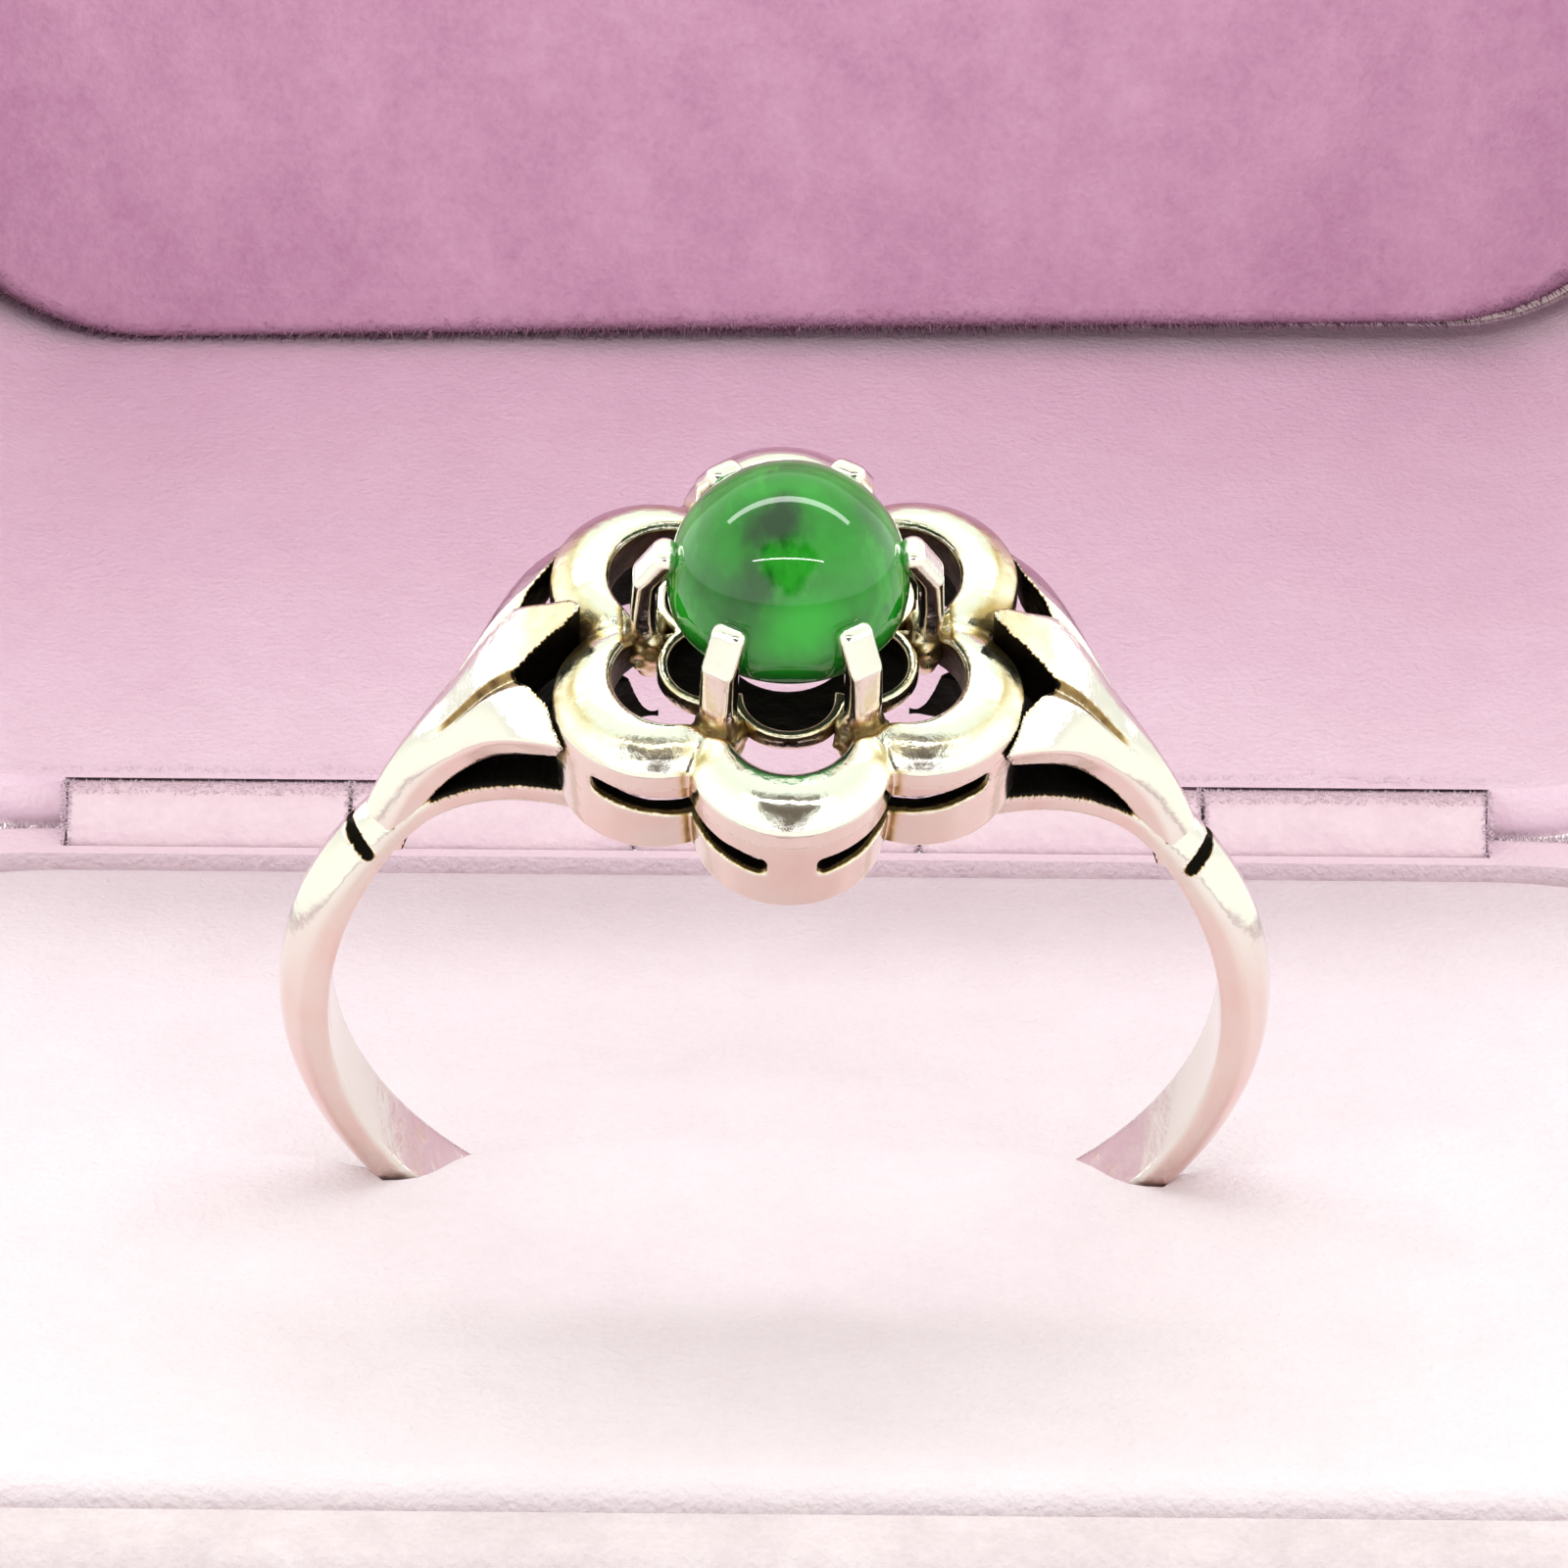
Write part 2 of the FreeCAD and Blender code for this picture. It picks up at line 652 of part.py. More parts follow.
def make_flower():
    """The polished rim: six lobes, each with its own round window."""
    height = "flower_top - gallery_top"
    body = hexafoil_block("flower_solid", "gallery_top", "lobe_radius", height)
    round_edges(body, body.Tip, "flower_top", "flower_edge")
    windows = new_sketch(body, "flower_windows", lift="gallery_top")
    for i in range(LOBES):
        centre = polar(value_of("window_pitch"), -math.pi / 2 + i * 2 * math.pi / LOBES)
        radius = value_of("window_radius")
        index = windows.addGeometry(Part.Circle(centre, FreeCAD.Vector(0, 0, 1), radius))
        angle = f"({360 * i // LOBES - 90} * 1 deg)"
        hold(windows, "Radius", (index,), f"hole{i}", "window_radius")
        hold(windows, "DistanceX", (-1, 1, index, 3), f"x{i}", f"window_pitch * cos{angle}")
        hold(windows, "DistanceY", (-1, 1, index, 3), f"y{i}", f"window_pitch * sin{angle}")
    pocket(body, windows, height, down=False)
    return body


def cone(name, low, high, foot, top):
    item = doc.addObject("Part::Cone", name)
    bind(item, "Placement.Base.z", low)
    bind(item, "Height", f"({high}) - ({low})")
    bind(item, "Radius1", foot)
    bind(item, "Radius2", top)
    return item


def make_collet():
    outer = cone("collet_outer", "collet_bottom", "flower_top", "collet_foot_radius", "collet_radius")
    inner = cone(
        "collet_inner", "collet_bottom", "flower_top",
        "collet_foot_radius - collet_wall", "collet_radius - collet_wall",
    )
    keep("collet", cut("collet", outer, inner), seat_ring)
    return outer


def make_prongs():
    """Six claws, each with a step that the stone sits on and a tip that leans over it."""
    body = new_body("prongs")
    sketch = new_sketch(body, "prong_profile", "XZ_Plane")
    corners = [
        ("collet_radius - collet_wall", "flower_top"),
        ("stone_radius + 0.6", "flower_top"),
        ("stone_radius + 0.55", "stone_girdle + 0.6"),
        ("stone_radius + 0.2", "stone_girdle + 1.25"),
        ("stone_radius - 0.15", "stone_girdle + 1.1"),
        ("stone_radius + 0.02", "stone_girdle + 0.4"),
        ("stone_radius + 0.02", "stone_seat"),
        ("collet_radius - collet_wall", "stone_seat"),
    ]
    draw_outline(sketch, corners)
    claw = pad(body, sketch, "prong_width", midplane=True)
    ring_of_claws = body.newObject("PartDesign::PolarPattern", "claw_pattern")
    ring_of_claws.Originals = [claw]
    ring_of_claws.Axis = (sketch, ["V_Axis"])
    ring_of_claws.Angle = 360
    ring_of_claws.Occurrences = LOBES
    body.Tip = ring_of_claws
    keep("prongs", body, seat_ring)


def make_cabochon():
    """A round domed stone with a short straight belt below its girdle."""
    body = new_body("cabochon")
    sketch = new_sketch(body, "stone_profile", "XZ_Plane")
    corners = [
        ("0", "stone_seat"),
        ("stone_radius - 0.02", "stone_seat"),
        ("stone_radius", "stone_girdle"),
        ("0", "stone_girdle + stone_radius"),
    ]
    arcs = {2: ("stone_radius * cos(45 * 1 deg)", "stone_girdle + stone_radius * sin(45 * 1 deg)")}
    draw_outline(sketch, corners, arcs)
    dome = body.newObject("PartDesign::Revolution", "stone_dome")
    dome.Profile = sketch
    dome.ReferenceAxis = (sketch, ["V_Axis"])
    dome.Angle = 360
    doc.recompute()
    keep("cabochon", body, seat_ring)


def make_ring():
    shank = make_shank()
    gallery = make_gallery()
    keep("ring_shank", cut("ring_shank", shank, gallery), seat_ring)
    flower = make_flower()
    make_shoulder("shoulder_left", -1, (shank, gallery, flower))
    make_shoulder("shoulder_right", 1, (shank, gallery, flower))
    collet = make_collet()
    keep("head_gallery", cut("head_gallery", gallery, collet), seat_ring)
    keep("flower_rim", cut("flower_rim", flower, collet), seat_ring)
    make_prongs()
    make_cabochon()


# --- build and write -----------------------------------------------------------------------------------

def check_everything():
    for item in doc.Objects:
        bad = [state for state in item.State if state in ("Invalid", "Error")]
        if bad:
            raise RuntimeError(f"{item.Name} is {bad}")
    for name, item in nodes.items():
        if item.Shape.isNull() or not item.Shape.isValid() or not item.Shape.Solids:
            raise RuntimeError(f"the shape of {name} is not a valid solid")


def write_everything():
    os.makedirs("parts", exist_ok=True)
    for name, item in nodes.items():
        item.Shape.exportStep(f"parts/{name}.step")
        print(f"{name:16s} solids {len(item.Shape.Solids)} volume {item.Shape.Volume:9.2f}")


make_base_shell_and_cover()
make_base_felt()
make_cushion()
make_hinge_pin()
make_lid_shell_and_cover()
make_lid_panel()
make_ring()
doc.recompute()
check_everything()
write_everything()
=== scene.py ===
import math

import bmesh
import bpy
import numpy as np
from mathutils import Matrix, Vector


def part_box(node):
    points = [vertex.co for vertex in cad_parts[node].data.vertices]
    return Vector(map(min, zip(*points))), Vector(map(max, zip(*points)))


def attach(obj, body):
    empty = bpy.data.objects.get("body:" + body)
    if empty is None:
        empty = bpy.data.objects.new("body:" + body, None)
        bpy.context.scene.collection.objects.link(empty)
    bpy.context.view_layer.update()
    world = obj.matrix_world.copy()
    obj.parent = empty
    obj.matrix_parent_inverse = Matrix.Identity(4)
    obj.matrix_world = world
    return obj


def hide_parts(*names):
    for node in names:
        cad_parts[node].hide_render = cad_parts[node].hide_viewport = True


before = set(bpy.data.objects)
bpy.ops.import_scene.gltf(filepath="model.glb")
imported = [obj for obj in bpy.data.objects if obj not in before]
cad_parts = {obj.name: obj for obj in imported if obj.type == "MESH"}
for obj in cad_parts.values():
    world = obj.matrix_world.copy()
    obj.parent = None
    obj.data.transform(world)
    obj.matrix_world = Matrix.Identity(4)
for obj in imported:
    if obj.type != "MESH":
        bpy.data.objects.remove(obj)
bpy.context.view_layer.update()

# An open velvet ring box with a silver ring in its cushion. Shapes are worked out in millimetres and
# turned into metres when a mesh is made. The ring is drawn in its own frame: the middle of the finger
# hole is the origin, z points at the head, y at the back of the box, and x to the right.

MM = 0.001

# --- places that follow from the frame ---


def box_mm(node):
    """The lowest and highest corner of a CAD node, in millimetres."""
    low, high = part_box(node)
    return np.array(low) / MM, np.array(high) / MM


RIM_Z = box_mm("base_cover")[1][2]
PAD_LOW, PAD_HIGH = box_mm("pad_velvet")
FOAM_LOW = box_mm("pad_foam")[0]
PANEL_LOW, PANEL_HIGH = box_mm("lid_panel")

RING_LEAN = math.radians(28)
RING_RISE = 5.55
RING_TURN = math.radians(0.9)
RING_CENTRE = Vector((0, -RING_RISE * math.sin(RING_LEAN), RIM_Z + RING_RISE * math.cos(RING_LEAN))) * MM
RING_FRAME = (
    Matrix.Translation(RING_CENTRE) @ Matrix.Rotation(RING_LEAN, 4, "X") @ Matrix.Rotation(RING_TURN, 4, "Y")
)

# --- camera ---

VIEW_ELEVATION = math.radians(22.2)
VIEW_DISTANCE = 220 * MM
VIEW_LENS = 256.4
SENSOR = 36.0
VIEW_ROLL = math.radians(0.5)
AIM_UP = 4.1 * MM
AIM_RIGHT = 0.15 * MM


def add_camera():
    """A long lens in front of the box and a little above it, aimed just above the finger hole."""
    data = bpy.data.cameras.new("camera")
    data.lens = VIEW_LENS
    data.sensor_width = SENSOR
    data.clip_start = 0.01
    camera = bpy.data.objects.new("camera", data)
    bpy.context.collection.objects.link(camera)
    towards = Vector((0, -math.cos(VIEW_ELEVATION), math.sin(VIEW_ELEVATION)))
    up = Vector((0, math.sin(VIEW_ELEVATION), math.cos(VIEW_ELEVATION)))
    aim = RING_CENTRE + up * AIM_UP + Vector((AIM_RIGHT, 0, 0))
    camera.location = aim + towards * VIEW_DISTANCE
    turn = (aim - camera.location).to_track_quat("-Z", "Y").to_matrix().to_4x4()
    camera.matrix_world = Matrix.Translation(camera.location) @ turn @ Matrix.Rotation(VIEW_ROLL, 4, "Z")
    bpy.context.scene.camera = camera


add_camera()

# --- solids from distance fields ---
# A field gives, for points in millimetres, a distance to the surface that is negative inside the metal.


def soft_max(a, b, blend):
    """The larger of two fields, rounded over where they are within blend of each other."""
    near = np.maximum(blend - np.abs(a - b), 0) / blend
    return np.maximum(a, b) + near * near * blend / 4


def soft_min(a, b, blend):
    """The smaller of two fields, rounded over in the same way."""
    return -soft_max(-a, -b, blend)


def ease(t):
    """A smooth climb from 0 to 1."""
    t = np.clip(t, 0, 1)
    return t * t * (3 - 2 * t)


def ripple(x, y, z):
    """A steady uneven pattern between about -1 and 1, for cast and filed surfaces."""
    first = np.sin(5.1 * x + 2.3 * z) * np.sin(6.7 * y - 1.9 * z + 0.7)
    second = np.sin(11.3 * z + 3.1 * y + 1.1) * np.sin(9.7 * x - 4.1 * y)
    return 0.6 * first + 0.4 * second


def to_segment(u, v, start, stop):
    """Distance in a plane from points (u, v) to the straight line between two points."""
    du, dv = stop[0] - start[0], stop[1] - start[1]
    share = np.clip(((u - start[0]) * du + (v - start[1]) * dv) / (du * du + dv * dv), 0, 1)
    return np.hypot(u - start[0] - share * du, v - start[1] - share * dv)


def in_outline(u, v, corners):
    """Distance to a closed outline in a plane, negative inside it."""
    distance = np.full(np.broadcast(u, v).shape, 1e9)
    inside = np.zeros(distance.shape, bool)
    for start, stop in zip(corners, corners[1:] + corners[:1]):
        distance = np.minimum(distance, to_segment(u, v, start, stop))
        crosses = (start[1] > v) != (stop[1] > v)
        rise = stop[1] - start[1] if stop[1] != start[1] else 1e-9
        inside ^= crosses & (u < start[0] + (v - start[1]) * (stop[0] - start[0]) / rise)
    return np.where(inside, -distance, distance)


def sample(field, axes):
    """The field on a grid, worked out one slice at a time."""
    y, z = np.meshgrid(axes[1], axes[2], indexing="ij")
    return np.stack([field(np.full_like(y, x), y, z) for x in axes[0]]).astype(np.float32)


def net_points(values, cells, axes, step):
    """One point in each cell that the surface crosses: the middle of its crossings."""
    total = np.zeros((len(cells), 3))
    count = np.zeros(len(cells))
    corners = [np.array((i, j, k)) for i in (0, 1) for j in (0, 1) for k in (0, 1)]
    for a in corners:
        for b in corners:
            if tuple(b - a) not in ((1, 0, 0), (0, 1, 0), (0, 0, 1)):
                continue
            at_a = values[tuple((cells + a).T)]
            at_b = values[tuple((cells + b).T)]
            crossed = (at_a < 0) != (at_b < 0)
            gap = np.where(crossed, at_a - at_b, 1)
            total += np.where(crossed[:, None], a + (at_a / gap)[:, None] * (b - a), 0)
            count += crossed
    origin = np.array([axis[0] for axis in axes])
    return origin + step * (cells + total / count[:, None])


def slope_of(field, points, reach=0.01):
    """The field's slope at each point."""
    parts = []
    for axis in range(3):
        offset = np.zeros(3)
        offset[axis] = reach
        parts.append((field(*(points + offset).T) - field(*(points - offset).T)) / (2 * reach))
    return np.stack(parts, 1)


def surface_net(field, low, high, step):
    """Points and four-sided faces of a field's surface. The points are then pulled on to it."""
    axes = [np.arange(a, b + step, step) for a, b in zip(low, high)]
    values = sample(field, axes)
    inside = values < 0
    total = sum(
        inside[i:inside.shape[0] - 1 + i, j:inside.shape[1] - 1 + j, k:inside.shape[2] - 1 + k].astype(int)
        for i in (0, 1) for j in (0, 1) for k in (0, 1)
    )
    cells = np.argwhere((total > 0) & (total < 8))
    number = np.full(total.shape, -1)
    number[tuple(cells.T)] = np.arange(len(cells))
    points = net_points(values, cells, axes, step)
    for _ in range(3):
        slope = slope_of(field, points)
        shift = field(*points.T) / np.maximum((slope ** 2).sum(1), 0.25)
        points -= np.clip(shift, -step / 2, step / 2)[:, None] * slope
    faces = []
    for axis in range(3):
        first, second = (axis + 1) % 3, (axis + 2) % 3
        count = inside.shape[axis] - 1
        near = np.take(inside, range(count), axis)
        far = np.take(inside, range(1, count + 1), axis)
        places = np.argwhere(near != far)
        limit = np.array(inside.shape) - 1
        kept = (places[:, first] > 0) & (places[:, second] > 0)
        kept &= (places[:, first] < limit[first]) & (places[:, second] < limit[second])
        places = places[kept]
        u, v = np.zeros(3, int), np.zeros(3, int)
        u[first], v[second] = 1, 1
        quads = np.stack([number[tuple((places - d).T)] for d in (u * 0, u, u + v, v)], 1)
        backwards = ~near[tuple(places.T)]
        quads[backwards] = quads[backwards][:, ::-1]
        faces.append(quads)
    return points, np.concatenate(faces)


def mesh_piece(name, points, faces, frame_matrix=None, extra=None):
    """A smooth-shaded object from points in millimetres, with any extra number per point."""
    data = bpy.data.meshes.new(name)
    data.from_pydata((np.asarray(points) * MM).tolist(), [], [list(map(int, face)) for face in faces])
    data.polygons.foreach_set("use_smooth", [True] * len(data.polygons))
    for word, numbers in (extra or {}).items():
        attribute = data.attributes.new(word, "FLOAT", "POINT")
        attribute.data.foreach_set("value", np.asarray(numbers, np.float32))
    if frame_matrix is not None:
        data.transform(frame_matrix)
    data.validate()
    piece = bpy.data.objects.new(name, data)
    bpy.context.collection.objects.link(piece)
    return piece


# --- the ring's shapes ---

LOBES = 6
LOBE_STEP = 2 * np.pi / LOBES
LOBE_PITCH = 2.9
LOBE_RADIUS = 1.95
WINDOW_PITCH = 2.5
WINDOW_RADIUS = 1.17
CREASE_Z = 10.72
RIM_TOP = 11.22
RIM_BOTTOM = 10.3
BEVEL = 0.8
SEAT_RADIUS = 2.0
STRUT_DROP = 0.28
STRUT_REACH = 3.25
STRUT_ROUGH = 0.07

GALLERY_BOTTOM = 8.42
GALLERY_TOP = 10.45
GALLERY_WALL = 0.4
GALLERY_LEAN = 0.14
SLOT_Z = 9.60
SLOT_HALF = 0.26
SLOT_NEAR = 0.47
SLOT_FAR = 3.75

CUP_PITCH = 1.63
CUP_RADIUS = 1.06
CUP_HOLE = 1.2
CUP_LOW = 10.5
CUP_TOP = 11.0
CUP_LIP = 0.36
CUP_WALL = 0.1
CUP_SAG = 0.55

CLAW_LINE = [(2.60, 10.2), (2.72, 11.6), (2.68, 12.55), (2.34, 13.12)]
FOOT_AT = (2.66, 10.65)
CLAW_THICK = 0.25
CLAW_HALF = 0.35
CLAW_ROUND = 0.22
FOOT_RADIUS = 0.42
FOOT_SQUASH = 0.8
FOOT_ROUGH = 0.09
CAST_TOP = 11.4

STONE_RADIUS = 2.3
STONE_GIRDLE = 12.37
STONE_SEAT = 11.88

FINGER_RADIUS = 8.94
FINGER_NARROW = 0.18
BAND_CROWN = 9.76
BAND_SIDE = 9.29
BAND_HALF = 0.85
BAND_WAIST = 0.66
BAND_THIN = 9.33
BAND_SPREAD = 1.65
BAND_END = 23.5
SHOULDER_TURN = 50
DEGREE = 0.16  # one degree along the shank, in millimetres
NICKS = ((53.2, 0.09), (58.6, 0.13))

PLATE_CENTRE = (-1.69, 2.70)
PLATE_RADIUS = 10.115
PLATE_UNDER = 0.87
PLATE_START = 13.6
PLATE_TIP_HALF = 0.62
PLATE_GROWTH = 1.75
GROOVE_DEPTH = 0.19
LEAF_LINE_END = 6.87
PLATE_LIFT = 0.40
PLATE_SPREAD = 0.33
OPENING = [
    (5.12, 0.78), (4.94, 1.10), (4.62, 1.56), (4.28, 1.98), (3.60, 2.50),
    (3.60, 0.10), (3.95, 0.22), (4.5, 0.43),
]

HEAD_TURN = math.radians(2)
HEAD_FRAME = RING_FRAME @ Matrix.Rotation(HEAD_TURN, 4, "Z")


def folded(x, y):
    """Radius and turn of a point of the head, the turn counted from the nearest lobe's middle."""
    turn = np.arctan2(x, -y)
    return np.hypot(x, y), np.abs((turn + LOBE_STEP / 2) % LOBE_STEP - LOBE_STEP / 2)


def lobed(x, y, pitch, radius, melt):
    """Distance to six joined circles about the middle of the head, with the space between them filled."""
    reach, turn = folded(x, y)
    own = np.hypot(reach * np.cos(turn) - pitch, reach * np.sin(turn)) - radius
    rest = np.hypot(reach * np.cos(LOBE_STEP - turn) - pitch, reach * np.sin(LOBE_STEP - turn)) - radius
    return np.minimum(soft_min(own, rest, melt), reach - pitch)


def window_gap(x, y):
    """Distance outwards from the nearest lobe's window."""
    reach, turn = folded(x, y)
    return np.hypot(reach * np.cos(turn) - WINDOW_PITCH, reach * np.sin(turn)) - WINDOW_RADIUS


def flower_field(x, y, z):
    """The polished rim: a level band round each window that falls away to a crease."""
    reach, _ = folded(x, y)
    outline = lobed(x, y, LOBE_PITCH, LOBE_RADIUS, 0.15)
    climb = np.clip(-outline / BEVEL, 0, 1)
    top = CREASE_Z + (RIM_TOP - CREASE_Z) * (1 - (1 - climb) ** 2)
    strut = ease((STRUT_REACH - reach) / 0.6)
    top = top - STRUT_DROP * strut + STRUT_ROUGH * strut * ripple(x, y, z)
    body = soft_max(outline, (z - top) * 0.8, 0.04)
    body = soft_max(body, -window_gap(x, y), 0.2)
    body = soft_max(body, SEAT_RADIUS - reach, 0.1)
    return np.maximum(body, RIM_BOTTOM - z)


def gallery_field(x, y, z):
    """The wall under the rim, leaning in at its foot, with long slots each side of a bridge."""
    lean = GALLERY_LEAN * np.clip((RIM_BOTTOM - z) / (RIM_BOTTOM - GALLERY_BOTTOM), -0.1, 1)
    outline = lobed(x, y, LOBE_PITCH, LOBE_RADIUS, 0.1) + np.abs(lean)
    wall = np.abs(outline + GALLERY_WALL / 2) - GALLERY_WALL / 2
    body = soft_max(wall, GALLERY_BOTTOM - z, 0.12)
    body = np.maximum(body, z - GALLERY_TOP)
    middle = SLOT_Z + 0.03 * x * x
    ends = np.abs(np.abs(x) - (SLOT_NEAR + SLOT_FAR) / 2) - (SLOT_FAR - SLOT_NEAR) / 2
    slot = soft_max(np.abs(z - middle + 0.02 * ripple(x, y, z)) - SLOT_HALF, ends, 0.2)
    return soft_max(body, -slot, 0.05)


def cup_field(x, y, z):
    """The scalloped collet under the stone: a dish with a hole and an upright lip."""
    reach, _ = folded(x, y)
    edge = lobed(x, y, CUP_PITCH, CUP_RADIUS, 0.12)
    rise = np.clip((reach - CUP_HOLE) / (CUP_PITCH + CUP_RADIUS - CUP_HOLE), 0, 1) ** 1.5
    floor = CUP_LOW + CUP_SAG * (CUP_TOP - CUP_LOW) * rise
    dish = soft_max(np.abs(z - floor) - CUP_WALL, edge, 0.05)
    dish = soft_max(dish, CUP_HOLE - reach, 0.05)
    lip = soft_max(np.abs(edge + CUP_WALL) - CUP_WALL, np.abs(z - CUP_TOP + CUP_LIP / 2) - CUP_LIP / 2, 0.08)
    return soft_min(dish, lip, 0.08)


def claw_field(x, y, z):
    """Six claws between the windows, each from a rough foot to a tip that leans over the stone."""
    reach, turn = folded(x, y)
    out = reach * np.cos(LOBE_STEP / 2 - turn)
    side = reach * np.sin(LOBE_STEP / 2 - turn)
    thin = np.full_like(out, 1e9)
    for start, stop in zip(CLAW_LINE, CLAW_LINE[1:]):
        thin = np.minimum(thin, to_segment(out, z, start, stop))
    claw = soft_max(thin - CLAW_THICK, np.abs(side) - CLAW_HALF, CLAW_ROUND)
    rise = (z - FOOT_AT[1]) * FOOT_SQUASH
    foot = np.sqrt((out - FOOT_AT[0]) ** 2 + (side * FOOT_SQUASH) ** 2 + rise ** 2) - FOOT_RADIUS
    foot = foot + FOOT_ROUGH * ripple(1.3 * x, 1.3 * y, 1.3 * z)
    low = ease((CAST_TOP - z) / 0.6)
    return soft_min(claw - 0.03 * low * ripple(1.4 * x, y, z), foot, 0.2)


def nick_gap(reach, across, turn):
    """Distance to the two filed nicks below each shoulder."""
    line = to_segment(reach, across, (9.83, 0.10), (9.22, 0.95))
    gaps = [np.hypot(line, np.radians(turn - place) * reach * 0.85) - wide for place, wide in NICKS]
    return np.minimum(*gaps)


def band_field(x, y, z):
    """The shank: flat inside, crowned outside, with two filed nicks below each shoulder."""
    reach = np.hypot(x, z)
    turn = np.degrees(np.arctan2(np.abs(x), z))
    inner = FINGER_RADIUS - FINGER_NARROW * ease((turn - SHOULDER_TURN) / 35)
    spread = BAND_SPREAD * np.clip((SHOULDER_TURN - turn) / 26, 0, 1.1) ** 1.6
    half = BAND_WAIST + spread + (BAND_HALF - BAND_WAIST) * ease((turn - 51) / 18)
    across = np.abs(y)
    crowned = BAND_CROWN - (BAND_CROWN - BAND_SIDE) * (across / half) ** 2
    thin = BAND_THIN + 0.27 * np.clip((SHOULDER_TURN - turn) / 25, 0, 1)
    outer = thin + (crowned - thin) * ease((turn - 49) / 3)
    body = soft_max(reach - outer, inner - reach, 0.06)
    body = soft_max(body, across - half, 0.12)
    body = soft_max(body, (BAND_END - turn) * DEGREE, 0.05)
    return soft_max(body, -nick_gap(reach, across, turn), 0.04)


def groove_line(x):
    """How far from the middle the groove beside the leaf runs."""
    return 0.35 + 0.45 * np.clip((LEAF_LINE_END - x) / 1.82, 0, 1.3) ** 1.2


def shoulder_field(x, y, z):
    """The right shoulder: a crowned plate that splits into a leaf between two ribs."""
    along = np.degrees(np.arctan2(z - PLATE_CENTRE[1], x - PLATE_CENTRE[0]))
    rise = ease((along - 34) / 17)
    level = np.hypot(x - PLATE_CENTRE[0], z - PLATE_CENTRE[1]) - PLATE_RADIUS - PLATE_LIFT * rise
    across = np.abs(y)
    half = PLATE_TIP_HALF + PLATE_GROWTH * np.clip((along - 22) / 32, 0, 1.15) ** 1.7 + PLATE_SPREAD * rise
    drop = 0.45 + 0.45 * np.clip((along - 42) / 12, 0, 1) ** 2
    groove_at = groove_line(x)
    fade = np.clip((LEAF_LINE_END - x) / 1.8, 0, 1)
    wide = 0.06 + 0.34 * fade
    share = (across - groove_at) / wide
    groove = GROOVE_DEPTH * fade ** 0.7 * np.where(share < 1, ease(share / 0.22) * (1 - share), 0)
    top = -drop * (across / half) ** 2 - groove * (share > 0)
    under = PLATE_UNDER + 0.33 * ease((along - 38) / 16)
    body = soft_max(level - top, -under - level, 0.05)
    body = soft_max(body, (across - half) * 0.95, 0.06)
    body = soft_max(body, (PLATE_START - along) * DEGREE, 0.08)
    body = soft_max(body, 0.04 - lobed(x, y, LOBE_PITCH, LOBE_RADIUS, 0.1), 0.04)
    return soft_max(body, -in_outline(x, across, OPENING), 0.1)


def left_shoulder_field(x, y, z):
    return shoulder_field(-x, y, z)


def stone_field(x, y, z):
    """The cabochon, only used to find what its neighbours are shaded by."""
    dome = np.sqrt(x * x + y * y + np.maximum(z - STONE_GIRDLE, 0) ** 2) - STONE_RADIUS
    return np.maximum(dome, STONE_SEAT - z)


# name: the field, the lowest and highest corner of its room, and the grid step
RING_PARTS = {
    "shank": (band_field, (-10.2, -2.9, -10.2), (10.2, 2.9, 9.9), 0.075),
    "gallery": (gallery_field, (-5.0, -5.2, 8.2), (5.0, 5.2, 10.7), 0.05),
    "flower": (flower_field, (-5.0, -5.2, 10.1), (5.0, 5.2, 11.6), 0.045),
    "cup": (cup_field, (-3.1, -3.1, 10.0), (3.1, 3.1, 11.3), 0.045),
    "claws": (claw_field, (-3.5, -3.5, 9.7), (3.5, 3.5, 13.8), 0.05),
    "shoulder_plate_right": (shoulder_field, (3.2, -3.2, 4.6), (9.0, 3.2, 12.0), 0.05),
    "shoulder_plate_left": (left_shoulder_field, (-9.0, -3.2, 4.6), (-3.2, 3.2, 12.0), 0.05),
}
STANDS_FOR = {
    "shank": "ring_shank",
    "gallery": "head_gallery",
    "flower": "flower_rim",
    "cup": "collet",
    "claws": "prongs",
    "shoulder_plate_right": "shoulder_right",
    "shoulder_plate_left": "shoulder_left",
}
HEAD_PARTS = ("gallery", "flower", "cup", "claws")
SHADE_REACHES = (0.18, 0.4, 0.8)


def hidden_share(points, normals):
    """How far each point of the ring is shut in by the rest of it, from 0 to 1."""
    total = np.zeros(len(points))
    for reach in SHADE_REACHES:
        probe = (points + normals * reach).T
        nearest = stone_field(*probe)
        for field, *_ in RING_PARTS.values():
            nearest = np.minimum(nearest, field(*probe))
        total += np.clip(1 - nearest / reach, 0, 1)
    return total / len(SHADE_REACHES)


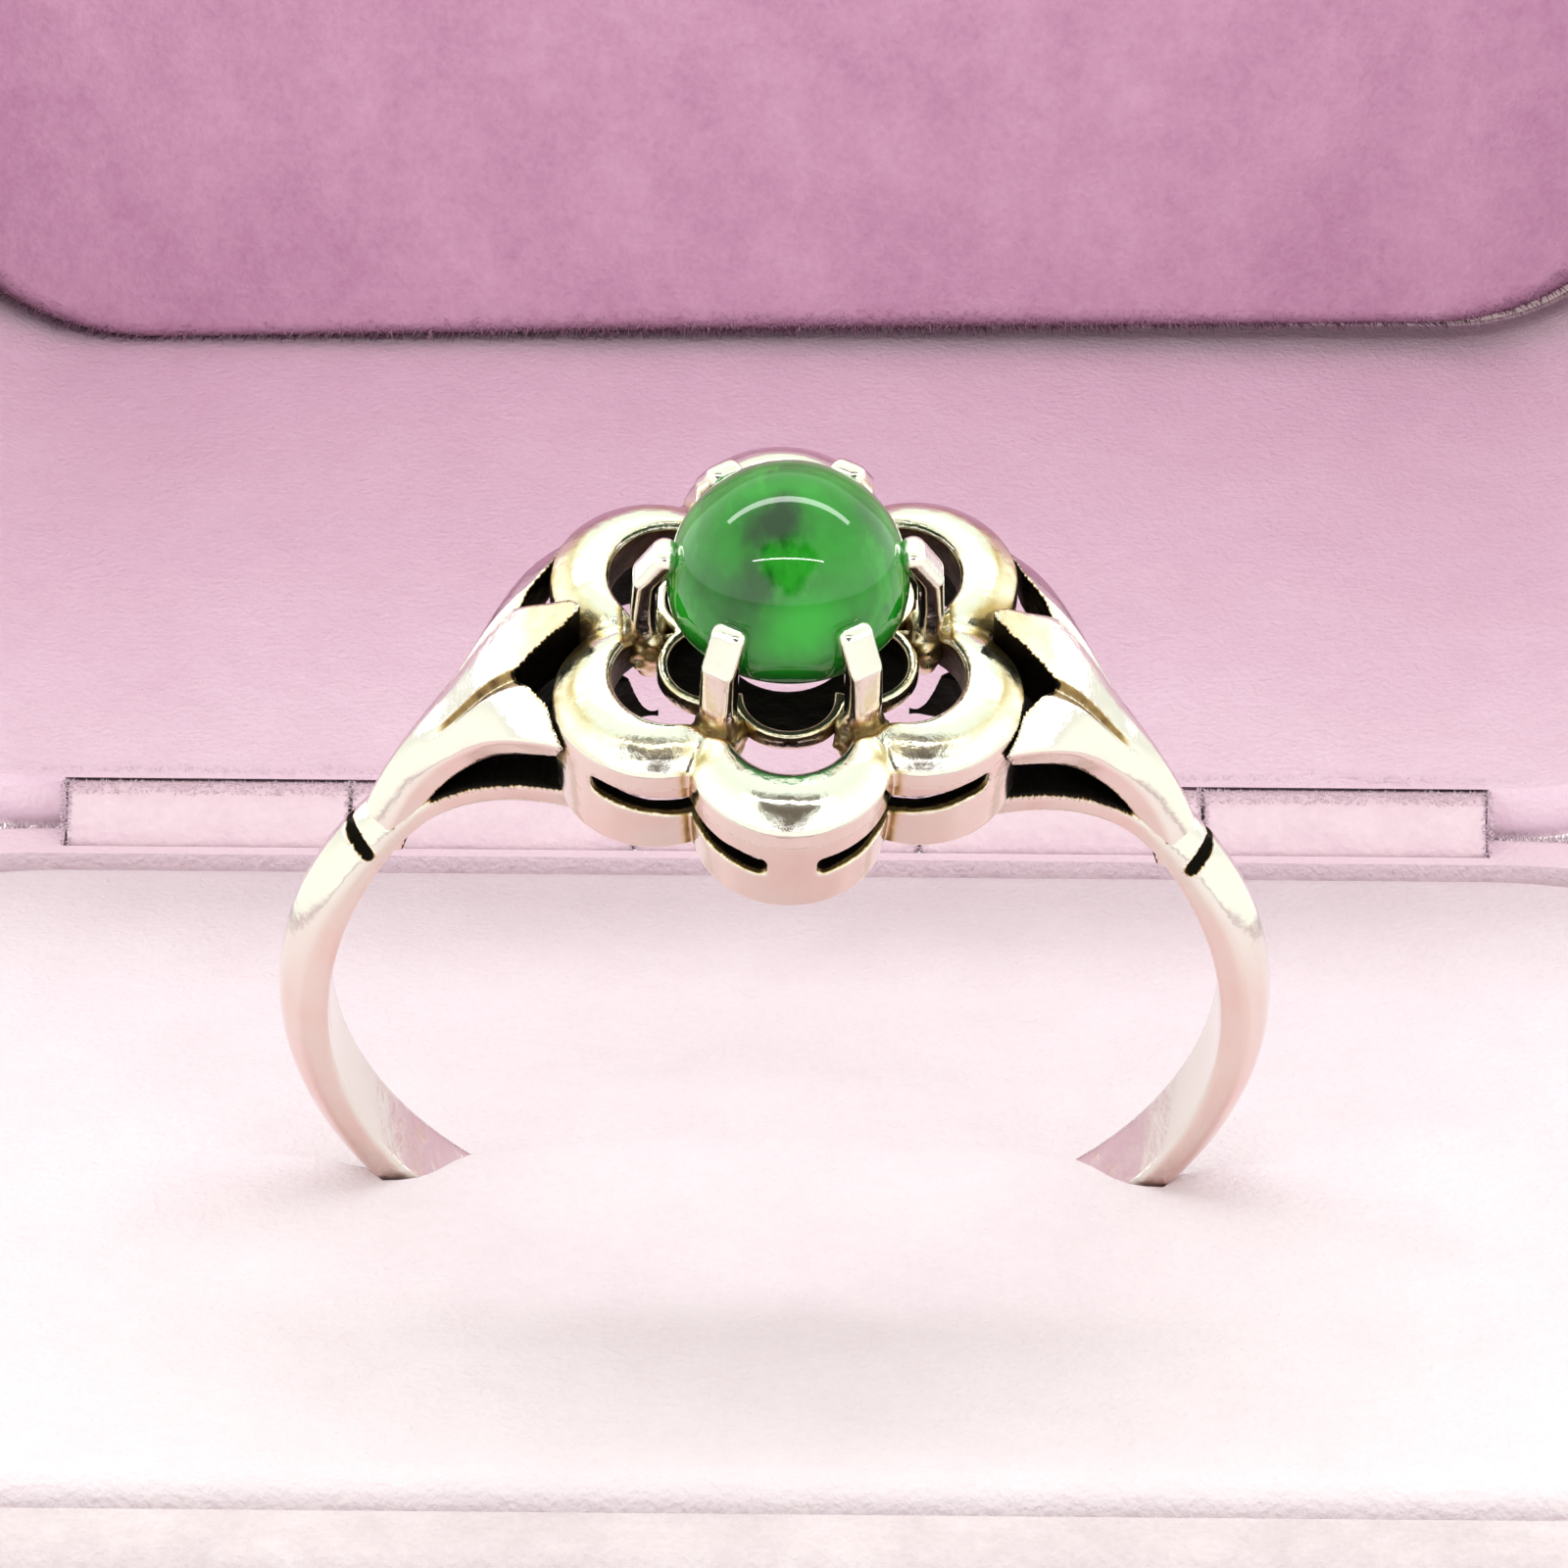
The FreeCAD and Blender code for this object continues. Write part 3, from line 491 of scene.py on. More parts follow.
def stain(name, points, normals, shut):
    """How tarnished each point is: 0 is polished, 0.5 yellow-brown and 1 black oxide."""
    x, y, z = points.T
    reach, _ = folded(x, y)
    age = np.clip(shut * 0.9, 0, 0.62)
    if name == "gallery":
        depth = -lobed(x, y, LOBE_PITCH, LOBE_RADIUS, 0.1)
        age = np.maximum(age, 0.95 * ease((depth - 0.14) / 0.1))
    elif name == "flower":
        window = window_gap(x, y)
        wall = ease((0.5 - normals[:, 2]) / 0.3) * ease((0.3 - window) / 0.1)
        strut = ease((3.3 - reach) / 0.5) * (normals[:, 2] > 0.2)
        age = np.maximum(np.where(strut > 0.3, np.clip(age, 0.2, 0.42) * strut, age), 0.74 * wall)
        buried = lobed(x, y, LOBE_PITCH, LOBE_RADIUS, 0.15) < -0.25
        age = np.maximum(age, 0.9 * (normals[:, 2] < -0.5) * buried)
    elif name == "cup":
        outward = (normals[:, 0] * x + normals[:, 1] * y) / np.maximum(reach, 0.1)
        top = ease((z - CUP_TOP + 0.13) / 0.1)
        age = np.maximum(age, 0.95 * (outward < 0.35)) * (1 - top) + 0.36 * top
    elif name == "claws":
        age = np.minimum(age, 0.5) * ease((12.0 - z) / 0.9) + 0.12 * ease((11.6 - z) / 0.5)
    elif name == "shank":
        radius = np.hypot(x, z)
        turn = np.degrees(np.arctan2(np.abs(x), z))
        outer = ease(((normals[:, 0] * x + normals[:, 2] * z) / radius - 0.4) / 0.4)
        under_plate = outer * ease((47 - turn) / 1.5)
        nicks = ease((0.035 - nick_gap(radius, np.abs(y), turn)) / 0.03)
        inside = normals[:, 0] * x + normals[:, 2] * z < -0.5 * radius
        age = np.maximum(age, 0.7 * inside * ease((-2.5 - z) / 2.5))
        age = np.maximum(np.where(turn > 50, 0.35 * age, age), 0.95 * np.maximum(under_plate, nicks))
    else:
        along = x - np.sign(x) * PLATE_CENTRE[0]
        outward = (normals[:, 0] * along + normals[:, 2] * (z - PLATE_CENTRE[1])) / PLATE_RADIUS
        hole = in_outline(np.abs(x), np.abs(y), OPENING)
        age = np.maximum(0.6 * age, 0.95 * (outward < -0.3))
        age = np.maximum(age, 0.9 * ease((0.12 - hole) / 0.06) * (outward < 0.55))
        beside = ease((0.09 - np.abs(np.abs(y) - groove_line(np.abs(x)) - 0.03)) / 0.06)
        age = np.maximum(age, 0.6 * beside * ease((LEAF_LINE_END - np.abs(x)) / 0.5))
    return age


def make_ring_part(name, look):
    field, low, high, step = RING_PARTS[name]
    points, faces = surface_net(field, low, high, step)
    normals = slope_of(field, points, 0.02)
    normals /= np.maximum(np.linalg.norm(normals, axis=1), 1e-6)[:, None]
    age = stain(name, points, normals, hidden_share(points, normals))
    # painted reflection: faces turned down and towards the front get a rose tint that stands in for the pink
    # cushion reflected in them
    rose = ease((0.35 - normals[:, 2]) / 0.5) * ease((-0.1 - normals[:, 1]) / 0.5)
    place = HEAD_FRAME if name in HEAD_PARTS else RING_FRAME
    piece = mesh_piece(name, points, faces, place, {"tarnish": age, "rose": rose})
    piece.data.materials.append(look)
    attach(piece, "base")
    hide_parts(STANDS_FOR[name])


def make_stone(look):
    """The cabochon, turned: a flat underside, a soft edge, a short belt and a dome."""
    outline = [(0.0, STONE_SEAT), (STONE_RADIUS - 0.32, STONE_SEAT)]
    outline += [
        (STONE_RADIUS - 0.32 + 0.30 * math.sin(t), STONE_SEAT + 0.30 - 0.30 * math.cos(t))
        for t in np.linspace(0.3, math.pi / 2, 6)
    ]
    outline += [
        (STONE_RADIUS * math.cos(t), STONE_GIRDLE + STONE_RADIUS * math.sin(t))
        for t in np.linspace(0, math.pi / 2, 33)[:-1]
    ]
    around = 128
    points = [(0, 0, STONE_SEAT)]
    for radius, height in outline[1:]:
        for turn in np.arange(around) * 2 * np.pi / around:
            points.append((radius * np.cos(turn), radius * np.sin(turn), height))
    points.append((0, 0, STONE_GIRDLE + STONE_RADIUS))
    faces = [(0, 1 + (k + 1) % around, 1 + k) for k in range(around)]
    rings = len(outline) - 1
    for ring in range(rings - 1):
        start = 1 + ring * around
        for k in range(around):
            step = (k + 1) % around
            faces.append((start + k, start + step, start + around + step, start + around + k))
    last = 1 + (rings - 1) * around
    faces += [(last + k, last + (k + 1) % around, len(points) - 1) for k in range(around)]
    piece = mesh_piece("stone", points, faces, RING_FRAME)
    piece.data.materials.append(look)
    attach(piece, "base")
    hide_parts("cabochon")


# --- flock ---

FIBRE_STRAY = 0.55
FIBRE_LENGTHS = (0.6, 1.25)
FIBRE_CORNERS = (0, 2.1, 4.2)


def fibres(roots, directions, length, thickness, seed):
    """Points and faces of short tapered fibres, each a closed spike with three sides."""
    random = np.random.RandomState(seed)
    points, faces = [], []
    for root, direction in zip(roots, directions):
        way = direction + random.normal(0, FIBRE_STRAY, 3)
        way /= np.linalg.norm(way)
        side = np.cross(way, (0.31, 0.17, 0.93))
        side /= np.linalg.norm(side)
        other = np.cross(way, side)
        size = length * random.uniform(*FIBRE_LENGTHS)
        first = len(points)
        points += [root + thickness * (side * math.cos(a) + other * math.sin(a)) for a in FIBRE_CORNERS]
        points.append(root + way * size)
        faces += [(first, first + 2, first + 1)]
        faces += [(first + i, first + (i + 1) % 3, first + 3) for i in range(3)]
    return points, faces


def joined(*meshes):
    """Several (points, faces) as one."""
    points, faces = [], []
    for more_points, more_faces in meshes:
        start = len(points)
        points += [tuple(p) for p in more_points]
        faces += [tuple(i + start for i in face) for face in more_faces]
    return points, faces


# --- the cushion ---

PAD_CORNER = 7.3
PAD_SWELL = 0.1
PAD_HALF_X = (PAD_HIGH[0] - PAD_LOW[0]) / 2
PAD_DRAFT = math.tan(math.radians(4))
PAD_TOP = PAD_HIGH[2]
PAD_INSET = 0.56
WIDER_THAN_DEEP = 7.0  # half the box's width less half its depth
PAD_TOP_HALF_X = PAD_HALF_X - PAD_INSET + PAD_SWELL
PAD_TOP_HALF_Y = PAD_TOP_HALF_X - WIDER_THAN_DEEP
PAD_EDGE_ROUND = 0.9
SLIT_Y = -0.1
SLIT_HALF_LENGTH = 9.25
SLIT_DEPTH = 4.2
SLIT_SHUT = 0.02
BACK_SINK, BACK_REACH = 0.75, 3.2
LIP_SINK, LIP_REACH = 0.45, 0.8
CREST, CREST_HALF, CREST_REACH = 0.80, 8.0, 2.3
FRONT_SINK = 0.18
LIP_ROUND = 0.34
LEG_INNER = 7.1
LEG_OUTER = 7.7
LEG_HALF = 0.97


def slit_gap(x):
    """Half the slit's opening: shut along its middle, spread where a leg of the ring goes in."""
    away = np.maximum(np.maximum(LEG_INNER - abs(x), abs(x) - LEG_OUTER), 0)
    return SLIT_SHUT + (LEG_HALF - SLIT_SHUT) * (1 - ease(away / (1.1 if abs(x) < LEG_INNER else 0.55)))


def slit_strength(x):
    """1 along the slit, falling to 0 at its ends."""
    return float(ease((SLIT_HALF_LENGTH - abs(x)) / 0.9))


def pad_height(x, y):
    """How far the velvet stands above or below its flat level, before the slit's own lips."""
    behind = y - SLIT_Y
    strength = float(ease((SLIT_HALF_LENGTH + 1.5 - abs(x)) / 4.0))
    if behind > 0:
        level = -BACK_SINK * strength * math.exp(-behind / BACK_REACH)
        level -= LIP_SINK * strength * math.exp(-behind / LIP_REACH)
    else:
        arch = max(0.0, 1 - (x / CREST_HALF) ** 2)
        level = (-FRONT_SINK + CREST * arch) * strength * math.exp(-((behind + 0.4) / CREST_REACH) ** 2)
    inset_x = PAD_TOP_HALF_X - PAD_CORNER
    inset_y = PAD_TOP_HALF_Y - PAD_CORNER
    corner = math.hypot(max(abs(x) - inset_x, 0), max(abs(y) - inset_y, 0))
    edge = PAD_CORNER - corner
    if edge < PAD_EDGE_ROUND:
        edge = max(edge, 0)
        level -= PAD_EDGE_ROUND - math.sqrt(PAD_EDGE_ROUND ** 2 - (PAD_EDGE_ROUND - edge) ** 2)
    return level


def pad_reach(x):
    """Half the cushion's depth at one place across it."""
    over = abs(x) - (PAD_TOP_HALF_X - PAD_CORNER)
    if over <= 0:
        return PAD_TOP_HALF_Y
    return PAD_TOP_HALF_Y - PAD_CORNER + math.sqrt(max(PAD_CORNER ** 2 - over ** 2, 0))


def clustered(count):
    """Shares from 0 to 1, closer together at both ends."""
    return (1 - np.cos(np.linspace(0, math.pi, count))) / 2


def pad_column(x, across):
    """One section of the cushion's top, from front to back, down into the slit and out again."""
    reach = pad_reach(x)
    strength = slit_strength(x)
    gap = slit_gap(x) * strength
    pressed = 0.55 * min(gap / LEG_HALF, 1)
    roll = LIP_ROUND * (1 - pressed) * max(strength, 0.02)
    depth = SLIT_DEPTH * max(strength, 0.02)
    front_lip = SLIT_Y - gap - roll
    back_lip = SLIT_Y + gap + roll
    line = [(y, PAD_TOP + pad_height(x, y)) for y in -reach + (front_lip + reach) * across]
    front_z = line[-1][1]
    for turn in np.linspace(0.3, math.pi / 2, 5):
        line.append((front_lip + roll * math.sin(turn), front_z - roll * (1 - math.cos(turn))))
    line.append((SLIT_Y - gap * 0.6, front_z - depth * 0.6))
    line.append((SLIT_Y, PAD_TOP - depth))
    back_z = PAD_TOP + pad_height(x, back_lip)
    line.append((SLIT_Y + gap * 0.6, back_z - depth * 0.6))
    for turn in np.linspace(math.pi / 2, 0.3, 5):
        line.append((back_lip - roll * math.sin(turn), back_z - roll * (1 - math.cos(turn))))
    line += [(y, PAD_TOP + pad_height(x, y)) for y in back_lip + (reach - back_lip) * across]
    return [(x, y, z) for y, z in line]


def make_cushion(look):
    """Two foam halves under one velvet skin, pressed together along the slit and opened by the ring."""
    columns = 190
    across = clustered(72)
    places = PAD_TOP_HALF_X * (2 * clustered(columns) - 1)
    grid = [pad_column(x, across) for x in places]
    rows = len(grid[0])
    points = [p for column in grid for p in column]
    faces = []
    for i in range(len(places) - 1):
        for j in range(rows - 1):
            a = i * rows + j
            faces.append((a, a + rows, a + rows + 1, a + 1))
    border = [i * rows for i in range(len(places))]
    border += [(len(places) - 1) * rows + j for j in range(1, rows)]
    border += [i * rows + rows - 1 for i in range(len(places) - 2, -1, -1)]
    border += [j for j in range(rows - 2, 0, -1)]
    foot = FOAM_LOW[2]
    for level in (PAD_TOP - 2.5, PAD_TOP - 5.0, (PAD_TOP + foot) / 2, foot):
        first = len(points)
        for index in border:
            x, y, _ = points[index]
            shrink = (PAD_TOP - level) * PAD_DRAFT
            length = math.hypot(x, y)
            points.append((x * (1 - shrink / length), y * (1 - shrink / length), level))
        above = border if level == PAD_TOP - 2.5 else list(range(first - len(border), first))
        for k in range(len(border)):
            n = (k + 1) % len(border)
            faces.append((above[n], above[k], first + k, first + n))
    last = list(range(len(points) - len(border), len(points)))
    faces.append(tuple(reversed(last)))
    piece = mesh_piece("cushion", points, faces)
    tidy = bmesh.new()
    tidy.from_mesh(piece.data)
    bmesh.ops.remove_doubles(tidy, verts=tidy.verts, dist=2e-6)
    bmesh.ops.dissolve_degenerate(tidy, edges=tidy.edges, dist=1e-7)
    bmesh.ops.recalc_face_normals(tidy, faces=tidy.faces)
    tidy.to_mesh(piece.data)
    tidy.free()
    piece.data.materials.append(look)
    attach(piece, "base")
    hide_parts("pad_velvet", "pad_foam")


# --- the lid's panel ---

PANEL_CORNER = 6.0
PANEL_ROLL = 0.75
PANEL_CROWN = 0.5
PANEL_TILT = math.radians(-1.2)
ROLL_DEPTH = PANEL_ROLL * 1.1
EDGE_SHARE = 0.14
FUZZ_LENGTH, FUZZ_THICK = 0.26, 0.016
FUZZ_COUNT, FUZZ_QUICK_COUNT = 5200, 500


def panel_edge(turn, half_x, half_z):
    """Where the panel's rounded rectangle ends in one direction from its middle."""
    c, s = math.cos(turn), math.sin(turn)
    corner_x, corner_z = half_x - PANEL_CORNER, half_z - PANEL_CORNER
    reach = min(half_x / max(abs(c), 1e-9), half_z / max(abs(s), 1e-9))
    if abs(c) * reach > corner_x and abs(s) * reach > corner_z:
        along = abs(c) * corner_x + abs(s) * corner_z
        off = corner_x ** 2 + corner_z ** 2 - PANEL_CORNER ** 2
        reach = along + math.sqrt(max(along ** 2 - off, 0))
    return c * reach, s * reach


def panel_fuzz(half_x, half_z, face_y):
    """Fibres that stand out of the rolled edge along the panel's lower half."""
    random = np.random.RandomState(11)
    roots, ways = [], []
    count = FUZZ_COUNT
    for turn in random.uniform(math.pi * 1.02, math.pi * 1.98, count):
        x, z = panel_edge(turn, half_x, half_z)
        lean = random.uniform(0, math.pi / 2)
        size = math.hypot(x, z)
        inward = PANEL_ROLL * (1 - math.sin(lean))
        y = face_y + ROLL_DEPTH * (1 - math.cos(lean)) - 0.02
        roots.append(np.array((x * (1 - inward / size), y, z * (1 - inward / size))))
        ways.append(np.array((x / size * math.sin(lean), -math.cos(lean), z / size * math.sin(lean))))
    return fibres(roots, ways, FUZZ_LENGTH, FUZZ_THICK, 12)


def make_panel(look):
    """A padded panel in the lid: a crowned velvet face whose edges roll back into the lining."""
    half_x = (PANEL_HIGH[0] - PANEL_LOW[0]) / 2
    half_z = (PANEL_HIGH[2] - PANEL_LOW[2]) / 2
    middle_z = (PANEL_HIGH[2] + PANEL_LOW[2]) / 2
    face_y, back_y = PANEL_LOW[1], PANEL_HIGH[1]
    outer = 1 - EDGE_SHARE * (1 - np.sin(np.linspace(0, math.pi / 2, 16)))
    shares = list(np.linspace(0, 1 - EDGE_SHARE, 30)) + list(outer)[1:]
    around = 240
    points, faces = [(0.0, face_y - PANEL_CROWN, 0.0)], []
    turns = np.arange(around) * 2 * np.pi / around
    edge = [panel_edge(turn, half_x, half_z) for turn in turns]
    for share in shares[1:]:
        for x, z in edge:
            size = math.hypot(x, z)
            inward = (1 - share) * size
            roll = max(0.0, 1 - inward / PANEL_ROLL)
            y = face_y - PANEL_CROWN * (1 - share ** 4)
            y += ROLL_DEPTH * (1 - math.sqrt(max(1 - roll ** 2, 0)))
            points.append((x * share, y, z * share))
    for depth in (0.5, 1.0):
        rolled = face_y + ROLL_DEPTH
        shrink = 1 - 0.004 * depth
        for x, z in edge:
            points.append((x * shrink, rolled + (back_y - rolled) * depth, z * shrink))
    faces += [(0, 1 + k, 1 + (k + 1) % around) for k in range(around)]
    rings = (len(points) - 1) // around
    for ring in range(rings - 1):
        start = 1 + ring * around
        for k in range(around):
            n = (k + 1) % around
            faces.append((start + k, start + around + k, start + around + n, start + n))
    last = 1 + (rings - 1) * around
    faces.append(tuple(last + k for k in range(around)))
    points, faces = joined((points, faces), panel_fuzz(half_x, half_z, face_y))
    turned = Matrix.Translation((0, 0, middle_z * MM)) @ Matrix.Rotation(PANEL_TILT, 4, "Y")
    piece = mesh_piece("lid_cushion", points, faces, turned)
    piece.data.materials.append(look)
    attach(piece, "lid")
    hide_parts("lid_panel")


# --- the short nap over the hinge and the front wall ---

HINGE_Y = (box_mm("hinge_pin")[0][1] + box_mm("hinge_pin")[1][1]) / 2
HINGE_HALF = box_mm("hinge_pin")[1][0]
KNUCKLE_RADIUS = 1.0
KNUCKLE_GAP = 0.1
KNUCKLES = 5
KNUCKLE_PITCH = (2 * HINGE_HALF + KNUCKLE_GAP) / KNUCKLES
NAP_END = 20.0
NAP_THICK = 0.02
FRONT_Y = -18.0
FRONT_NAP_HALF = 17
FRONT_NAP_DROP = 1.6
REAR_RIM_Y = (17.3, 17.8)
LINING_EDGE_Y = (17.85, 18.2)
LINING_EDGE_UP = 1.08


def scattered(count, place, seed):
    """Roots and directions of count fibres, each from place(random)."""
    random = np.random.RandomState(seed)
    pairs = [place(random) for _ in range(count)]
    return [np.array(root) for root, _ in pairs], [np.array(way) for _, way in pairs]


def on_crest(random):
    """Along the top of the hinge, in front of the lining's edge."""
    lean = random.uniform(1.15, 1.7)
    way = (0, -math.cos(lean), math.sin(lean))
    x = random.uniform(-HINGE_HALF, HINGE_HALF)
    return (x, HINGE_Y + KNUCKLE_RADIUS * 0.99 * way[1], RIM_Z + KNUCKLE_RADIUS * 0.99 * way[2]), way


def on_gap(random):
    """Beside the gaps between the hinge's knuckles."""
    lean = random.uniform(-0.4, 1.7)
    side = random.choice((-1, 1))
    middle = -HINGE_HALF - KNUCKLE_GAP / 2 + KNUCKLE_PITCH * random.randint(0, KNUCKLES + 1)
    x = middle + side * random.uniform(0.06, 0.14)
    way = (-side * 0.9, -math.cos(lean), math.sin(lean))
    return (x, HINGE_Y + KNUCKLE_RADIUS * 0.98 * way[1], RIM_Z + KNUCKLE_RADIUS * 0.98 * way[2]), way


def on_back_rim(random):
    """On the base's rear rim beyond the hinge, where the lid stands on it."""
    x = random.choice((-1, 1)) * random.uniform(HINGE_HALF, NAP_END)
    return (x, random.uniform(*REAR_RIM_Y), RIM_Z - 0.12), (0, 0.1, 1)


def on_front_wall(random):
    """On the front wall just under its rim."""
    drop = random.uniform(0, 1) ** 1.5 * FRONT_NAP_DROP
    x = random.uniform(-FRONT_NAP_HALF, FRONT_NAP_HALF)
    return (x, FRONT_Y - 0.02 * drop, RIM_Z - 0.5 - drop), (0, -1, 0.2)


def on_lining_edge(random):
    """Along the lining's edge, leaning over the hinge."""
    x = random.uniform(-NAP_END, NAP_END)
    return (x, random.uniform(*LINING_EDGE_Y), RIM_Z + LINING_EDGE_UP), (0, -0.8, 0.6)


def make_nap(name, body, look, groups):
    """One piece of loose fibres from groups of (count, where they root, length)."""
    meshes = [fibres(*scattered(count, place, seed), length, NAP_THICK, seed + 50)
              for seed, (count, place, length) in enumerate(groups, start=21)]
    piece = mesh_piece(name, *joined(*meshes))
    piece.data.materials.append(look)
    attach(piece, body)


# --- materials ---

def add(tree, kind, settings=None, **inputs):
    """A node with its settings and inputs; an input is a value or another node's socket."""
    item = tree.nodes.new(kind)
    for key, value in (settings or {}).items():
        setattr(item, key, value)
    for key, value in inputs.items():
        socket = item.inputs[int(key[1:])] if key[1:].isdigit() else item.inputs[key.replace("_", " ")]
        if isinstance(value, bpy.types.NodeSocket):
            tree.links.new(value, socket)
        elif isinstance(value, tuple) and len(value) == 3 and len(socket.default_value) == 4:
            socket.default_value = (*value, 1)
        else:
            socket.default_value = value
    return item


def new_look(name, **constants):
    """An empty material: its tree, its shader and a place coordinate in metres."""
    look = bpy.data.materials.new(name)
    look.use_nodes = True
    tree = look.node_tree
    shader = tree.nodes["Principled BSDF"]
    for key, value in constants.items():
        shader.inputs[key.replace("_", " ")].default_value = value
    place = add(tree, "ShaderNodeTexCoord").outputs["Object"]
    return look, tree, shader, place


def noise(tree, place, size_mm, detail=3.0, stretch=None, roughness=0.55):
    """Noise whose blobs are about size_mm across, from 0 to 1."""
    if stretch is not None:
        place = add(tree, "ShaderNodeMapping", Vector=place, Scale=stretch).outputs["Vector"]
    made = add(tree, "ShaderNodeTexNoise", Vector=place, Scale=1 / (size_mm * MM), Detail=detail,
               Roughness=roughness)
    return made.outputs["Fac"]


def ramp(tree, value, stops):
    """A colour ramp through (position, colour) stops."""
    made = add(tree, "ShaderNodeValToRGB", Fac=value)
    while len(made.color_ramp.elements) < len(stops):
        made.color_ramp.elements.new(0.5)
    for element, (position, colour) in zip(made.color_ramp.elements, stops):
        element.position = position
        element.color = (*colour, 1)
    return made.outputs["Color"]


def maths(tree, operation, first, second):
    return add(tree, "ShaderNodeMath", {"operation": operation}, _0=first, _1=second).outputs["Value"]


def mix(tree, share, first, second, kind="MIX"):
    """Two colours mixed by share, which is a number or a socket."""
    settings = {"blend_type": kind}
    return add(tree, "ShaderNodeMixRGB", settings, Fac=share, Color1=first, Color2=second).outputs["Color"]


def falloff(tree, value, start, stop, top=1.0, kind="SMOOTHSTEP"):
    """0 where value is start and top where it is stop."""
    return add(tree, "ShaderNodeMapRange", {"interpolation_type": kind}, Value=value, From_Min=start,
               From_Max=stop, To_Max=top).outputs["Result"]


def bump(tree, height, strength, distance_mm, normal=None):
    made = add(tree, "ShaderNodeBump", Height=height, Strength=strength, Distance=distance_mm * MM)
    if normal is not None:
        tree.links.new(normal, made.inputs["Normal"])
    return made.outputs["Normal"]


LINING_TINT = (0.93, 0.76, 0.86)
# colour of the painted shade in the crevice round the lid's panel
CREVICE_SHADE = (0.12, 0.045, 0.075)
TINT_FULL, TINT_END = 1.6, 2.4  # distances from the hinge's axis


def velvet(name, deep, light, pile_mm=0.16, contrast=1.0, hinge_tint=False, painted_edge_shade=False):
    """Short-pile flock: mottled where the nap leans, with a fine grain of fibre ends.

    With hinge_tint the flock takes the lining's pink near the hinge's axis; with the edge flag it gets
    painted shade, dark where the panel's edge rolls back into the crevice by the lining.
    """
    look, tree, shader, place = new_look(
        name, Roughness=1.0, Sheen_Weight=0.3, Sheen_Roughness=0.45, Specular_IOR_Level=0.1,
    )
    shader.inputs["Sheen Tint"].default_value = (*light, 1)
    nap = noise(tree, place, 2.4, 4.0, stretch=(1.0, 0.7, 0.7))
    patches = noise(tree, place, 0.55, 2.0)
    pile = noise(tree, place, pile_mm, 2.0)
    mixed = maths(tree, "ADD", maths(tree, "MULTIPLY", nap, 0.5), maths(tree, "MULTIPLY", patches, 0.25))
    mixed = maths(tree, "ADD", mixed, maths(tree, "MULTIPLY", pile, 0.25))
    spread = 0.16 / contrast
    colour = ramp(tree, mixed, [(0.5 - spread, deep), (0.5 + spread, light)])
    if hinge_tint:
        level = add(tree, "ShaderNodeVectorMath", {"operation": "MULTIPLY"}, _0=place, _1=(0, 1, 1))
        gap = add(tree, "ShaderNodeVectorMath", {"operation": "DISTANCE"}, _0=level.outputs["Vector"],
                  _1=(0, HINGE_Y * MM, RIM_Z * MM)).outputs["Value"]
        share = falloff(tree, gap, TINT_END * MM, TINT_FULL * MM, kind="LINEAR")
        colour = mix(tree, share, colour, LINING_TINT)
    # painted shade: the panel's edge darkens to the crevice colour where it rolls back into the lining
    if painted_edge_shade:
        back = add(tree, "ShaderNodeSeparateXYZ", Vector=place).outputs["Y"]
        face = PANEL_LOW[1]
        share = falloff(tree, back, (face - 0.06) * MM, (face + 0.25) * MM, top=0.85, kind="LINEAR")
        colour = mix(tree, share, colour, CREVICE_SHADE)
    tree.links.new(colour, shader.inputs["Base Color"])
    soft = bump(tree, nap, 0.25, 0.5)
    tree.links.new(bump(tree, pile, 0.5, 0.12, soft), shader.inputs["Normal"])
    return look


def make_silver():
    """Polished hand-finished silver with warm tarnish and black oxide where it is shut in."""
    look, tree, shader, place = new_look("silver_polished", Metallic=1.0)
    worn = add(tree, "ShaderNodeAttribute", {"attribute_name": "tarnish"}).outputs["Fac"]
    uneven = noise(tree, place, 0.5, 4.0)
    cloud = noise(tree, place, 1.6, 3.0)
    marks = noise(tree, place, 0.12, 2.0, stretch=(0.25, 1.0, 1.0))
    age = maths(tree, "ADD", worn, maths(tree, "MULTIPLY", maths(tree, "SUBTRACT", uneven, 0.5), 0.34))
    colour = ramp(tree, age, [
        (0.24, (0.84, 0.85, 0.76)),
        (0.38, (0.78, 0.72, 0.50)),
        (0.52, (0.48, 0.36, 0.14)),
        (0.68, (0.075, 0.040, 0.022)),
        (0.84, (0.008, 0.007, 0.005)),
    ])
    # painted reflection: the pink of the cushion multiplied into faces turned down and forward, in patches
    rose = add(tree, "ShaderNodeAttribute", {"attribute_name": "rose"}).outputs["Fac"]
    pink_reflection_patches = maths(tree, "MULTIPLY", rose, maths(tree, "ADD", maths(tree, "MULTIPLY", cloud, 0.9), 0.4))
    colour = mix(tree, pink_reflection_patches, colour, (0.95, 0.66, 0.67), "MULTIPLY")
    tree.links.new(colour, shader.inputs["Base Color"])
    dull = ramp(tree, age, [(0.25, (0.10,) * 3), (0.55, (0.34,) * 3), (0.75, (0.55,) * 3)])
    rough = maths(tree, "ADD", dull, maths(tree, "MULTIPLY", marks, 0.06))
    tree.links.new(rough, shader.inputs["Roughness"])
    wavy = bump(tree, cloud, 0.18, 0.12)
    cast = bump(tree, maths(tree, "MULTIPLY", uneven, age), 0.5, 0.14, wavy)
    tree.links.new(bump(tree, marks, 0.05, 0.02, cast), shader.inputs["Normal"])
    return look


# places in the ring's frame, then a radius and a strength, or a radius and a softness
DARK_SPOTS = ((-0.3, -0.5, 14.6, 0.85, 1.0), (-0.5, -1.5, 14.0, 0.65, 0.7))
BRIGHT_SPOT = (0.3, -2.0, 13.4, 0.95, 0.8)


